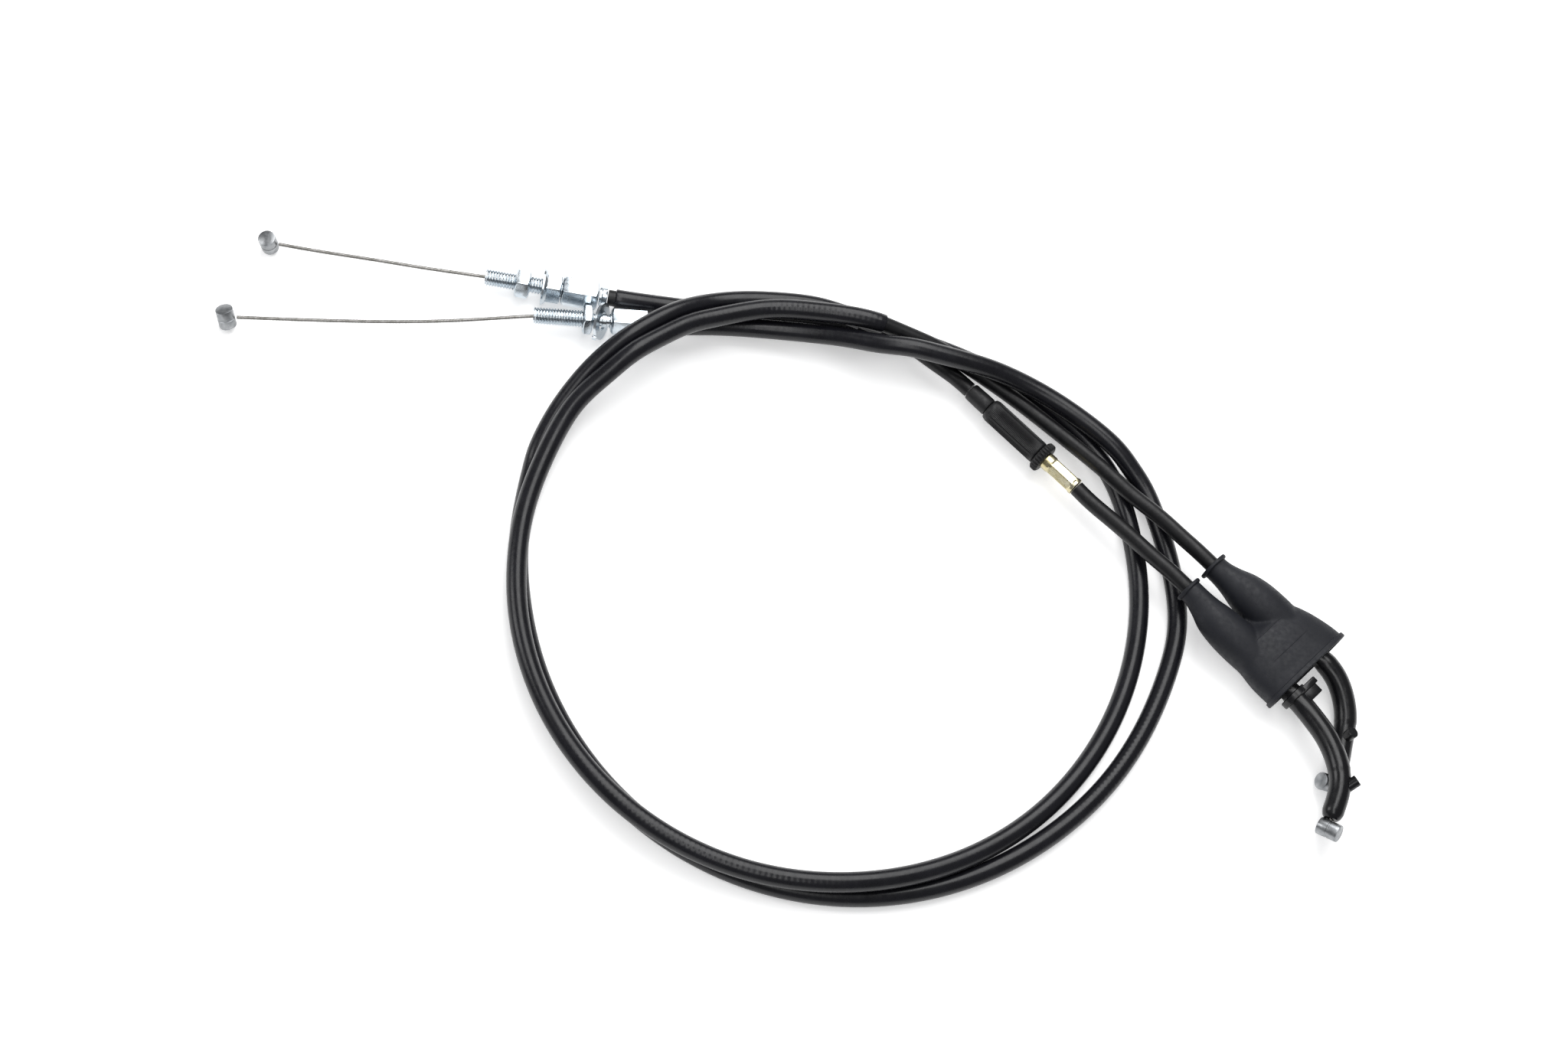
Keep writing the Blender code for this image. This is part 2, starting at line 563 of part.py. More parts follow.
def make_elbow(name, casing_end, inner, outer, pull, peg, parts, cutters, gloss):
    """A bent guide tube: spigot in its ferrule, bend, locating peg and a bore for the wire."""
    route = [boot_point(*p) for p in inner] + [Vector(p) for p in outer]
    root = route[0]
    inward = (casing_end - root).normalized()
    spigot_start = root + inward * SPIGOT_LENGTH
    bend = stops_along(smooth_curve(route), 0.0045, 0.0)
    radii = [ELBOW_R if (Vector(p) - BOOT_ORIGIN).dot(BOOT_ALONG) > ELBOW_STEP_ALONG
             else ELBOW_INNER_R for p in bend]
    elbow = tube_mesh(name, bend, ELBOW_R, parts, gloss, radii=radii)
    spigot = tube_mesh(name + "_spigot", [spigot_start, root - inward * 0.002], SPIGOT_R, cutters)
    boolean(elbow, as_cutter(spigot), "UNION")
    peg_rod = tube_mesh(name + "_peg", list(peg), PEG_R, cutters)
    boolean(elbow, as_cutter(peg_rod), "UNION")
    mouth = Vector(outer[-1])
    pull = pull.normalized()
    bore = tube_mesh(name + "_bore", [mouth + pull * 0.002, mouth - pull * STUB_BORE_DEPTH],
                     STUB_BORE_R, cutters)
    boolean(elbow, as_cutter(bore), "DIFFERENCE")
    reach = SPIGOT_LENGTH + GAP
    centre = root + inward * reach
    far = centre + inward * SPIGOT_LENGTH
    placement = axis_frame(far, root - far)
    length = (root - far).length - GAP
    turned(name + "_ferrule", ring_outline(ELBOW_FERRULE_R, ELBOW_FERRULE_BORE_R, 0, length),
           placement, parts, gloss, closed=True)
    return elbow


def make_elbows(parts, cutters, gloss):
    casing_a = Vector(CABLE_A_END[-1])
    casing_b = Vector(CABLE_B_LOWER[-1])
    make_elbow("elbow_a", casing_a, ELBOW_A_INNER, ELBOW_A_OUTER, PULL_A, PEG_A, parts, cutters,
               gloss)
    elbow = make_elbow("elbow_b", casing_b, ELBOW_B_INNER, ELBOW_B_OUTER, PULL_B, PEG_B, parts,
                       cutters, gloss)
    seat = boot_point(COLLAR_ALONG, -0.0063, 0.0107)
    collar = turned("collar_b", rod_outline(COLLAR_R, -COLLAR_THICK / 2, COLLAR_THICK / 2, 0.0003),
                    axis_frame(seat, BOOT_ALONG), cutters)
    for name, size, centre in (("key_tab_b", KEY_TAB_SIZE, KEY_TAB_CENTRE),
                               ("key_plate_b", KEY_PLATE_SIZE, KEY_PLATE_CENTRE)):
        key = block(name, size, axis_frame(boot_point(*centre), Vector((0, 0, 1)), BOOT_ALONG),
                    cutters)
        boolean(collar, as_cutter(key), "UNION")
    boolean(elbow, as_cutter(collar), "UNION")


def lobe(name, stations, group, shrink=0.0, start=None, end=None):
    """One round branch of the boot; shrink takes the wall off for the inside."""
    points = [boot_point(a, c, h) for a, c, h, r in stations]
    radii = [r - shrink for a, c, h, r in stations]
    if start is not None:
        points[0] = points[0] + BOOT_ALONG * start
        radii[:2] = [PORT_BORE_R, PORT_BORE_R]
    if end is not None:
        points[-1] = points[-1] + BOOT_ALONG * end
    return tube_mesh(name, points, 0.005, group, resolution=6, radii=radii)


def make_boot(parts, cutters, rubber):
    """Two ported branches that run together into one wide oval mouth with a lip."""
    boot = oval_loft("twin_boot", BOOT_BODY, parts, rubber)
    start, end = BOOT_RIM
    along, across, height, wide, high = BOOT_BODY[-1]
    rim_sizes = (across, 0.0096, wide + BOOT_RIM_LIP, high + BOOT_RIM_LIP)
    rim = oval_loft("boot_rim", [(start, *rim_sizes), (end, *rim_sizes)], cutters)
    boolean(boot, as_cutter(rim), "UNION")
    for side, stations in (("a", LOBE_A), ("b", LOBE_B)):
        boolean(boot, as_cutter(lobe("lobe_" + side, stations, cutters)), "UNION")
        seat = boot_point(*stations[0][:3])
        flange = turned("port_flange_" + side,
                        rod_outline(PORT_FLANGE_R, -0.0002, PORT_FLANGE_THICK, 0.0002),
                        axis_frame(seat, BOOT_ALONG), cutters, steps=24)
        boolean(boot, as_cutter(flange), "UNION")
    inside = []
    for along, across, height, wide, high in BOOT_BODY:
        inside.append((along + 0.0012, across, height, wide - BOOT_WALL, high - BOOT_WALL))
    inside[-1] = (0.0495, *inside[-1][1:])
    boolean(boot, as_cutter(oval_loft("boot_inside", inside, cutters)), "DIFFERENCE")
    for side, stations, reach in (("a", LOBE_A, 0.002), ("b", LOBE_B, 0.007)):
        hollow = lobe("hollow_" + side, stations, cutters, BOOT_WALL, -0.003, reach)
        boolean(boot, as_cutter(hollow), "DIFFERENCE")
    return boot


def main():
    clear_scene()
    parts = new_collection("throttle_cable_pair")
    cutters = new_collection("cutters")
    zinc = material("zinc_plate", (0.66, 0.70, 0.74), 1.0, 0.32)
    gold = material("yellow_zinc", (0.70, 0.62, 0.36), 1.0, 0.30)
    lead = material("cast_nipple", (0.52, 0.53, 0.54), 1.0, 0.45)
    steel = material("stranded_wire", (0.42, 0.41, 0.40), 1.0, 0.40)
    vinyl = material("vinyl_sleeve", (0.016, 0.016, 0.020), 0.0, 0.35)
    black = material("casing_plastic", (0.012, 0.012, 0.014), 0.0, 0.45)
    gloss = material("elbow_plastic", (0.010, 0.010, 0.012), 0.0, 0.25)
    plastic = material("adjuster_plastic", (0.014, 0.014, 0.016), 0.0, 0.50)
    rubber = material("boot_rubber", (0.020, 0.021, 0.026), 0.0, 0.60)

    make_cables(parts, vinyl, black, steel)
    make_nipples(parts, lead)
    make_adjuster_a(parts, cutters, zinc)
    make_adjuster_b(parts, cutters, zinc)
    make_tab_washer(parts, cutters, zinc)
    make_inline_adjuster(parts, plastic, gold)
    make_elbows(parts, cutters, gloss)
    make_boot(parts, cutters, rubber)
    for obj in parts.objects:
        if obj.type == "MESH" and obj.data.polygons:
            shade_round(obj)


main()
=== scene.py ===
"""Looks of the throttle cable pair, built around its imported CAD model.

Units are metres in the CAD model's frame: the table is z = 0, +X runs from the carburettor end to the
twistgrip end. Cable A is the upper cable at the left and the rear elbow at the right.
"""
import math

import bmesh
import bpy
import numpy as np
from mathutils import Matrix, Vector
from mathutils.bvhtree import BVHTree


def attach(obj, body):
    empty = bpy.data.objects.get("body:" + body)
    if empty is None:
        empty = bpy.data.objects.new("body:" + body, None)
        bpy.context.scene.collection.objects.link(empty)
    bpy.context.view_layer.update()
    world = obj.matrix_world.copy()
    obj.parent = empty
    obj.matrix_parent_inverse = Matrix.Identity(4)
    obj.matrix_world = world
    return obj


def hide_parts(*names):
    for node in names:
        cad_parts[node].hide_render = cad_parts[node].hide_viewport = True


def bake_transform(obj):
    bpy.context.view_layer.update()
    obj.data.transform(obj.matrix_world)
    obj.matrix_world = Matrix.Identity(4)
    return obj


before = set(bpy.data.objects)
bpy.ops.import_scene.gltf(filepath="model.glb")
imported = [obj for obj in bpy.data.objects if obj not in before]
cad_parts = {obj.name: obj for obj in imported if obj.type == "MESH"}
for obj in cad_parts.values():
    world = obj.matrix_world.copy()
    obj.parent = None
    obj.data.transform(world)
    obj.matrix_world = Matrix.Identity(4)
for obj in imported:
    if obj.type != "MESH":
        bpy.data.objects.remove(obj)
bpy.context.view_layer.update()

CASING = "casing"
UP = Vector((0, 0, 1))
LEAN = Vector((0.3, 0.9, 0.3))          # top for axes that may stand nearly upright

# ---- sizes and routes, as in the CAD model -----------------------------------------------------
SLEEVE_R = 0.0034
CASING_R = 0.0028
WIRE_R = 0.0006
SLEEVE_START = 0.0024
SLEEVE_A_LENGTH = 0.765
BARE_B_LENGTH = 0.046
RING_STEP = 0.0024                      # between a casing's rings
WIRE_RING_STEP = 0.0004
CURVE_DIVISIONS = 24                    # of each span between two route points
FAR_WIRE_IN_ELBOW = 0.0070

# Each coil turn is a lying oval, run clockwise from one bearing to another (degrees from +X).
TURN_A = {"centre": (0.0150, -0.0145), "half_long": 0.1105, "half_short": 0.1055, "tilt": 48,
          "start": 26, "end": -194, "points": 20, "low": 0.0034, "high": 0.0104,
          "climb": (-36, -92)}
TURN_B = {"centre": (0.0240, -0.0030), "half_long": 0.1235, "half_short": 0.1145, "tilt": 68,
          "start": -42, "end": -192, "points": 14, "low": 0.0034, "high": 0.0034,
          "climb": (-36, -92)}
CABLE_A_START = [
    (-0.0642, 0.0866, 0.0064), (-0.0570, 0.0860, 0.0061), (-0.0410, 0.0860, 0.0039),
    (-0.0170, 0.0850, 0.0034), (0.0075, 0.0845, 0.0034), (0.0315, 0.0825, 0.0034),
    (0.0545, 0.0770, 0.0034), (0.0770, 0.0675, 0.0034), (0.0970, 0.0540, 0.0034),
]
CABLE_A_END = [
    (-0.0790, 0.0350, 0.0124), (-0.0725, 0.0445, 0.0146), (-0.0650, 0.0515, 0.0175),
    (-0.0565, 0.0590, 0.0200), (-0.0480, 0.0655, 0.0192), (-0.0370, 0.0730, 0.0172),
    (-0.0275, 0.0770, 0.0158), (-0.0100, 0.0820, 0.0150), (0.0060, 0.0820, 0.0164),
    (0.0195, 0.0805, 0.0177), (0.0290, 0.0790, 0.0174), (0.0360, 0.0775, 0.0158),
    (0.0435, 0.0755, 0.0142), (0.0520, 0.0730, 0.0122), (0.0605, 0.0690, 0.0104),
    (0.0705, 0.0640, 0.0079), (0.0830, 0.0560, 0.0064), (0.0960, 0.0455, 0.0066),
    (0.1115, 0.0305, 0.0096), (0.1205, 0.0220, 0.0100), (0.1295, 0.0140, 0.0110),
    (0.1365, 0.0065, 0.0124), (0.1425, 0.0003, 0.0133), (0.1510, -0.0083, 0.0133),
    (0.1544, -0.0113, 0.0131), (0.1589, -0.0147, 0.0127),
]
CABLE_B_START = [
    (-0.0467, 0.0764, 0.0085), (-0.0400, 0.0766, 0.0083), (-0.0265, 0.0780, 0.0074),
    (-0.0085, 0.0780, 0.0078), (0.0070, 0.0765, 0.0099), (0.0200, 0.0740, 0.0132),
    (0.0300, 0.0710, 0.0166), (0.0395, 0.0695, 0.0186), (0.0490, 0.0680, 0.0184),
    (0.0660, 0.0655, 0.0159), (0.0775, 0.0630, 0.0133), (0.0890, 0.0585, 0.0114),
    (0.1015, 0.0510, 0.0106), (0.1150, 0.0405, 0.0092), (0.1215, 0.0335, 0.0066),
    (0.1275, 0.0240, 0.0044), (0.1360, -0.0135, 0.0034), (0.1325, -0.0375, 0.0034),
    (0.1230, -0.0600, 0.0034),
]
CABLE_B_END = [
    (-0.0865, 0.0280, 0.0048), (-0.0815, 0.0395, 0.0068), (-0.0750, 0.0495, 0.0104),
    (-0.0680, 0.0575, 0.0140), (-0.0595, 0.0650, 0.0169), (-0.0500, 0.0725, 0.0168),
    (-0.0395, 0.0795, 0.0148), (-0.0280, 0.0850, 0.0111), (-0.0145, 0.0875, 0.0102),
    (0.0060, 0.0875, 0.0102), (0.0155, 0.0855, 0.0105), (0.0255, 0.0825, 0.0104),
    (0.0325, 0.0800, 0.0099), (0.0385, 0.0770, 0.0092), (0.0450, 0.0740, 0.0078),
    (0.0510, 0.0705, 0.0066), (0.0570, 0.0665, 0.0063), (0.0600, 0.0635, 0.0073),
    (0.0638, 0.0599, 0.0075),
]
CABLE_B_LOWER = [
    (0.1008, 0.0244, 0.0082), (0.1055, 0.0195, 0.0083), (0.1110, 0.0140, 0.0093),
    (0.1180, 0.0070, 0.0106), (0.1250, -0.0005, 0.0119), (0.1305, -0.0060, 0.0129),
    (0.1333, -0.0089, 0.0133), (0.1417, -0.0174, 0.0133), (0.1448, -0.0207, 0.0131),
    (0.1485, -0.0249, 0.0127),
]
WIRE_A_ROUTE = [
    (-0.1786, 0.0990, 0.0046), (-0.1641, 0.0971, 0.0050), (-0.1453, 0.0950, 0.0057),
    (-0.1268, 0.0929, 0.0062), (-0.1071, 0.0912, 0.0064), (-0.1051, 0.0910, 0.0064),
]
WIRE_B_ROUTE = [
    (-0.1909, 0.0696, 0.0047), (-0.1675, 0.0702, 0.0052), (-0.1415, 0.0711, 0.0062),
    (-0.1259, 0.0721, 0.0069), (-0.1076, 0.0740, 0.0077), (-0.0902, 0.0762, 0.0084),
    (-0.0860, 0.0764, 0.0085),
]

ADJUSTER_A_TIP = Vector((-0.1071, 0.0912, 0.0064))
ADJUSTER_A_END = Vector((-0.0645, 0.0866, 0.0064))
ADJUSTER_B_TIP = Vector((-0.0900, 0.0764, 0.0085))
ADJUSTER_B_END = Vector((-0.0470, 0.0764, 0.0085))
# Spans along each adjuster from its threaded tip
A_LOCK_NUT = (0.0105, 0.0157)
A_FLANGE_NUT = (0.0206, 0.0266)
BARREL_A = (0.0269, 0.0398)
B_LOCK_NUT = (0.0170, 0.0203)
BARREL_B = (0.0269, 0.0397)
THREAD_A_END = 0.0268
THREAD_B_END = 0.0205
DRILL_LENGTH = 0.03
NUT_FLATS = 0.0100
BARREL_A_FLATS = 0.0100
BARREL_B_FLATS = 0.0090
THREAD_R = 0.0030
THREAD_ROOT_R = 0.0025
THREAD_PITCH = 0.0010
ADJUSTER_BORE_R = 0.0017
NUT_BORE_R = 0.00306
WASHER_CENTRE = Vector((-0.0664, 0.0762, 0.0083))
WASHER_NORMAL = Vector((0.904, -0.285, 0.309)).normalized()
INLINE_START = Vector((0.0640, 0.0597, 0.0075))
INLINE_END = Vector((0.1006, 0.0246, 0.0082))

NIPPLE_R = 0.0030
NIPPLES = {
    "nipple_a_near": ((-0.1821, 0.0993, 0.0046), (0.22, 0.03, -0.975), 0.0070),
    "nipple_b_near": ((-0.1945, 0.0693, 0.0048), (0.24, -0.44, -0.865), 0.0070),
    "nipple_a_far": ((0.1855, -0.0779, 0.0047), (-0.87, 0.0, 0.50), 0.0076),
    "nipple_b_far": ((0.1824, -0.0966, 0.0110), (0.753, -0.515, 0.41), 0.0076),
}
PULL_A = Vector((-0.55, -0.835, 0.0)).normalized()
PULL_B = Vector((-0.17, -0.978, -0.12)).normalized()

BOOT_ORIGIN = Vector((0.14215, -0.00860, 0.0))
BOOT_ALONG = Vector((0.700, -0.714, 0.0))
BOOT_ACROSS = Vector((0.714, 0.700, 0.0))
BOOT_WALL = 0.0015
BOOT_VOXEL = 0.00050
BOOT_SOFTENING = 7
PORT_BORE_R = 0.0032
# Stations along a branch: along, across, height of centre, radius
BRANCH_A = [
    (0.0000, 0.0065, 0.0133, 0.0044), (0.0040, 0.0067, 0.0133, 0.0046),
    (0.0080, 0.0072, 0.0131, 0.0054), (0.0130, 0.0080, 0.0126, 0.0069),
    (0.0180, 0.0087, 0.0120, 0.0077), (0.0240, 0.0094, 0.0113, 0.0079),
    (0.0290, 0.0100, 0.0106, 0.0077), (0.0350, 0.0102, 0.0098, 0.0070),
]
BRANCH_B = [
    (0.0000, -0.0065, 0.0133, 0.0042), (0.0040, -0.0067, 0.0133, 0.0044),
    (0.0080, -0.0071, 0.0131, 0.0051), (0.0130, -0.0075, 0.0126, 0.0064),
    (0.0180, -0.0073, 0.0120, 0.0071), (0.0240, -0.0069, 0.0113, 0.0074),
    (0.0290, -0.0065, 0.0106, 0.0073), (0.0350, -0.0062, 0.0100, 0.0068),
]
# Stations along the shared body: along, across, height of centre, half width, half height
BOOT_BODY = [
    (0.0205, 0.0010, 0.0104, 0.0080, 0.0018), (0.0240, 0.0014, 0.0104, 0.0125, 0.0036),
    (0.0285, 0.0021, 0.0105, 0.0156, 0.0072), (0.0330, 0.0031, 0.0103, 0.0167, 0.0081),
    (0.0390, 0.0037, 0.0100, 0.0180, 0.0085), (0.0440, 0.0043, 0.0097, 0.0185, 0.0087),
    (0.0481, 0.0046, 0.0096, 0.0186, 0.0087),
]
# Raised lines over the body: along, from across, to across, radius
BOOT_LINES = ((0.0290, -0.0052, 0.0082, 0.00030), (0.0383, -0.0062, 0.0122, 0.00022))

ELBOW_R = 0.0039
ELBOW_INNER_R = 0.0036
ELBOW_STEP_ALONG = 0.0485
ELBOW_A_INNER = [(0.0230, 0.0088, 0.0121), (0.0300, 0.0096, 0.0112), (0.0390, 0.0107, 0.0103),
                 (0.0479, 0.0120, 0.0095)]
ELBOW_B_INNER = [(0.0230, -0.0070, 0.0121), (0.0300, -0.0067, 0.0116), (0.0406, -0.0062, 0.0111),
                 (0.0538, -0.0063, 0.0107)]
ELBOW_A_OUTER = [(0.1904, -0.0421, 0.0080), (0.1929, -0.0530, 0.0062), (0.1923, -0.0590, 0.0053),
                 (0.1911, -0.0645, 0.0048), (0.1900, -0.0692, 0.0047), (0.1886, -0.0732, 0.0047)]
ELBOW_B_OUTER = [(0.1799, -0.0581, 0.0115), (0.1837, -0.0652, 0.0125), (0.1867, -0.0761, 0.0130),
                 (0.1862, -0.0838, 0.0126), (0.1845, -0.0890, 0.0120), (0.1830, -0.0931, 0.0114)]
ELBOW_STEP_LENGTH = 0.002
ELBOW_SEAM_LEFT = 0.0175
ELBOW_SEAM_DEPTH = 0.00014
ELBOW_LIP_R = 0.0024
ELBOW_RING_STEP = 0.0008
ELBOW_BORE_R = 0.0012
ELBOW_BORE_LENGTH = 0.009
ELBOW_TAPER = 0.0026
PEG_R = 0.0020
PEG_A = (Vector((0.1916, -0.0624, 0.0058)), Vector((0.1936, -0.0613, 0.0110)))
PEG_B = (Vector((0.1868, -0.0835, 0.0122)), Vector((0.1921, -0.0802, 0.0156)))
COLLAR_ALONG = 0.0513
KEY_BLOCKS = (((0.0056, 0.0060, 0.0036), (0.0536, -0.0016, 0.0125)),
              ((0.0023, 0.0080, 0.0046), (0.0519, -0.0015, 0.0125)))


# ---- routes ------------------------------------------------------------------------------------

def oval_turn(centre, half_long, half_short, tilt, start, end, points, low, high, climb):
    """Points round a lying oval, climbing smoothly from low to high between two bearings."""
    made = []
    for bearing in np.linspace(start, end, points):
        angle = math.radians(bearing)
        lean = angle - math.radians(tilt)
        reach = 1 / math.hypot(math.cos(lean) / half_long, math.sin(lean) / half_short)
        part = min(max((bearing - climb[0]) / (climb[1] - climb[0]), 0.0), 1.0)
        height = low + (high - low) * part * part * (3 - 2 * part)
        made.append((centre[0] + reach * math.cos(angle), centre[1] + reach * math.sin(angle),
                     height))
    return made


def smooth_curve(points):
    """Natural cubic spline through the points, finely divided."""
    knots = np.asarray(points, float)
    chords = np.linalg.norm(np.diff(knots, axis=0), axis=1) ** 0.5
    count = len(knots)
    system = np.zeros((count, count))
    right = np.zeros((count, 3))
    system[0, 0] = system[-1, -1] = 1.0
    for i in range(1, count - 1):
        before, after = chords[i - 1], chords[i]
        system[i, i - 1] = before
        system[i, i] = 2 * (before + after)
        system[i, i + 1] = after
        right[i] = 6 * ((knots[i + 1] - knots[i]) / after - (knots[i] - knots[i - 1]) / before)
    bends = np.linalg.solve(system, right)
    fine = []
    for i in range(count - 1):
        h = chords[i]
        for u in np.linspace(0, h, CURVE_DIVISIONS, endpoint=False):
            a = (h - u) / h
            b = u / h
            sag = ((a ** 3 - a) * bends[i] + (b ** 3 - b) * bends[i + 1]) * h * h / 6
            fine.append(a * knots[i] + b * knots[i + 1] + sag)
    fine.append(knots[-1])
    return np.array(fine)


def distances(curve):
    """How far along the curve each of its points is."""
    return np.concatenate([[0], np.cumsum(np.linalg.norm(np.diff(curve, axis=0), axis=1))])


def read_curve(curve, step, start=0.0, end=None, floor=0.0):
    """Points at even steps between two distances, none lower than the floor."""
    run = distances(curve)
    end = run[-1] if end is None else end
    stops = np.linspace(start, end, max(2, round((end - start) / step)) + 1)
    read = np.stack([np.interp(stops, run, curve[:, k]) for k in range(3)], axis=1)
    read[:, 2] = np.maximum(read[:, 2], floor)
    return read, stops


# ---- mesh helpers ------------------------------------------------------------------------------

def axis_frame(origin, direction, top=UP):
    """Placement whose local +Z runs along direction and whose local +X leans to top."""
    z = Vector(direction).normalized()
    x = (top - z * top.dot(z)).normalized()
    turn = Matrix((x, z.cross(x), z)).transposed()
    return Matrix.Translation(origin) @ turn.to_4x4()


def boot_point(along, across, height):
    return BOOT_ORIGIN + BOOT_ALONG * along + BOOT_ACROSS * across + UP * height


def new_object(name, vertices, faces, placement=None):
    mesh = bpy.data.meshes.new(name)
    mesh.from_pydata([tuple(v) for v in vertices], [], faces)
    obj = bpy.data.objects.new(name, mesh)
    bpy.context.scene.collection.objects.link(obj)
    if placement is not None:
        mesh.transform(placement)
    return obj


def join(pieces, name):
    """Several meshes as one object."""
    shape = bmesh.new()
    for piece in pieces:
        piece.data.transform(piece.matrix_world)
        shape.from_mesh(piece.data)
        bpy.data.objects.remove(piece)
    mesh = bpy.data.meshes.new(name)
    shape.to_mesh(mesh)
    shape.free()
    obj = bpy.data.objects.new(name, mesh)
    bpy.context.scene.collection.objects.link(obj)
    return obj


def apply_modifiers(obj):
    bpy.context.view_layer.update()
    evaluated = obj.evaluated_get(bpy.context.evaluated_depsgraph_get())
    mesh = bpy.data.meshes.new_from_object(evaluated)
    obj.modifiers.clear()
    obj.data = mesh
    return obj


def boolean(obj, tool, operation):
    cut = obj.modifiers.new("cut", "BOOLEAN")
    cut.operation = operation
    cut.object = tool
    cut.solver = "EXACT"
    apply_modifiers(obj)
    bpy.data.objects.remove(tool)
    return obj


def bevel(obj, width, segments=2, degrees=25):
    edge = obj.modifiers.new("bevel", "BEVEL")
    edge.width = width
    edge.segments = segments
    edge.limit_method = "ANGLE"
    edge.angle_limit = math.radians(degrees)
    edge.harden_normals = False
    return apply_modifiers(obj)


def smooth_shading(obj, degrees=32):
    obj.data.shade_smooth()
    obj.data.set_sharp_from_angle(angle=math.radians(degrees))
    return obj


def set_attribute(obj, name, values):
    made = obj.data.attributes.new(name, "FLOAT", "POINT")
    made.data.foreach_set("value", np.asarray(values, np.float32))


def ring_faces(rings, count, first=0):
    faces = []
    for k in range(rings - 1):
        for i in range(count):
            j = (i + 1) % count
            low = first + k * count
            faces.append((low + i, low + j, low + count + j, low + count + i))
    return faces


def lathe(name, outline, placement, count=64, shape=None):
    """Revolve (radius, distance) points about local Z. shape(angle, radius, distance) may change a
    radius, as ribs or teeth do. The outline runs from one end to the other round the outer side."""
    vertices = []
    for radius, distance in outline:
        for i in range(count):
            angle = math.tau * i / count
            r = shape(angle, radius, distance) if shape else radius
            vertices.append((r * math.cos(angle), r * math.sin(angle), distance))
    faces = ring_faces(len(outline), count)
    faces.append(tuple(reversed(range(count))))
    last = (len(outline) - 1) * count
    faces.append(tuple(range(last, last + count)))
    return new_object(name, vertices, faces, placement)


def ring_lathe(name, outline, placement, count=64, shape=None):
    """Revolve a closed outline, so that the piece has a bore right through."""
    obj = lathe(name, outline, placement, count, shape)
    shape_mesh = bmesh.new()
    shape_mesh.from_mesh(obj.data)
    caps = [f for f in shape_mesh.faces if len(f.verts) == count]
    bmesh.ops.delete(shape_mesh, geom=caps, context="FACES_ONLY")
    shape_mesh.verts.ensure_lookup_table()
    last = (len(outline) - 1) * count
    for i in range(count):
        j = (i + 1) % count
        corners = [shape_mesh.verts[k] for k in (last + i, last + j, j, i)]
        shape_mesh.faces.new(corners)
    bmesh.ops.recalc_face_normals(shape_mesh, faces=shape_mesh.faces)
    shape_mesh.to_mesh(obj.data)
    shape_mesh.free()
    return obj


def sweep(name, points, radii, count=20, lobes=0, depth=0.0, pitch=0.0):
    """A round bar along points. With lobes it is a laid rope: depth deep, one twist each pitch."""
    points = np.asarray(points, float)
    steps = len(points)
    radii = np.broadcast_to(np.asarray(radii, float), (steps,))
    tangents = np.gradient(points, axis=0)
    tangents /= np.linalg.norm(tangents, axis=1)[:, None]
    side = np.cross(tangents[0], (0.0, 0.0, 1.0))
    side /= np.linalg.norm(side)
    run = distances(points)
    vertices = []
    for k in range(steps):
        side = side - tangents[k] * side.dot(tangents[k])
        side /= np.linalg.norm(side)
        over = np.cross(side, tangents[k])
        twist = math.tau * run[k] / pitch if pitch else 0.0
        for i in range(count):
            angle = math.tau * i / count
            r = radii[k]
            if lobes:
                r -= depth * (1 - abs(math.cos(lobes * (angle - twist) / 2)))
            vertices.append(points[k] + side * (r * math.cos(angle)) + over * (r * math.sin(angle)))
    faces = ring_faces(steps, count)
    faces.append(tuple(reversed(range(count))))
    faces.append(tuple(range((steps - 1) * count, steps * count)))
    obj = new_object(name, vertices, faces)
    shape = bmesh.new()
    shape.from_mesh(obj.data)
    bmesh.ops.recalc_face_normals(shape, faces=shape.faces)
    shape.to_mesh(obj.data)
    shape.free()
    set_attribute(obj, "along", np.repeat(run, count))
    return obj


def rod(name, start, end, radius, chamfer, count=40):
    length = (end - start).length
    outline = [(radius - chamfer, 0), (radius, chamfer), (radius, length - chamfer),
               (radius - chamfer, length)]
    return lathe(name, outline, axis_frame(start, end - start, LEAN), count)


def box_piece(name, size, placement, softened):
    """A block with softened edges."""
    shape = bmesh.new()
    bmesh.ops.create_cube(shape, size=1.0, matrix=Matrix.Diagonal((*size, 1.0)))
    mesh = bpy.data.meshes.new(name)
    shape.to_mesh(mesh)
    shape.free()
    obj = bpy.data.objects.new(name, mesh)
    bpy.context.scene.collection.objects.link(obj)
    bevel(obj, softened)
    mesh = obj.data
    mesh.transform(placement)
    return obj


def hexagon(name, flats, start, end, placement, chamfer, turn=0.0):
    """A hexagonal bar with its corners turned back at both ends."""
    corner = flats / 2 / math.cos(math.pi / 6)
    local = Matrix.Rotation(math.radians(turn), 4, "Z")
    shape = bmesh.new()
    bmesh.ops.create_cone(shape, cap_ends=True, segments=6, radius1=corner, radius2=corner,
                          depth=end - start,
                          matrix=Matrix.Translation((0, 0, (start + end) / 2)) @ local)
    mesh = bpy.data.meshes.new(name)
    shape.to_mesh(mesh)
    shape.free()
    obj = bpy.data.objects.new(name, mesh)
    bpy.context.scene.collection.objects.link(obj)
    flat_r = corner - chamfer * 1.75
    outline = [(flat_r, start - 0.00002), (corner + 0.0001, start + chamfer),
               (corner + 0.0001, end - chamfer), (flat_r, end + 0.00002)]
    ends = lathe(name + "_ends", outline, Matrix.Identity(4), 96)
    boolean(obj, ends, "INTERSECT")
    bevel(obj, 0.00012, 2, 20)
    obj.data.transform(placement)
    return obj


def bore(obj, placement, radius, start, end, count=48):
    drill = lathe("drill", [(radius, start), (radius, end)], placement, count)
    return boolean(obj, drill, "DIFFERENCE")


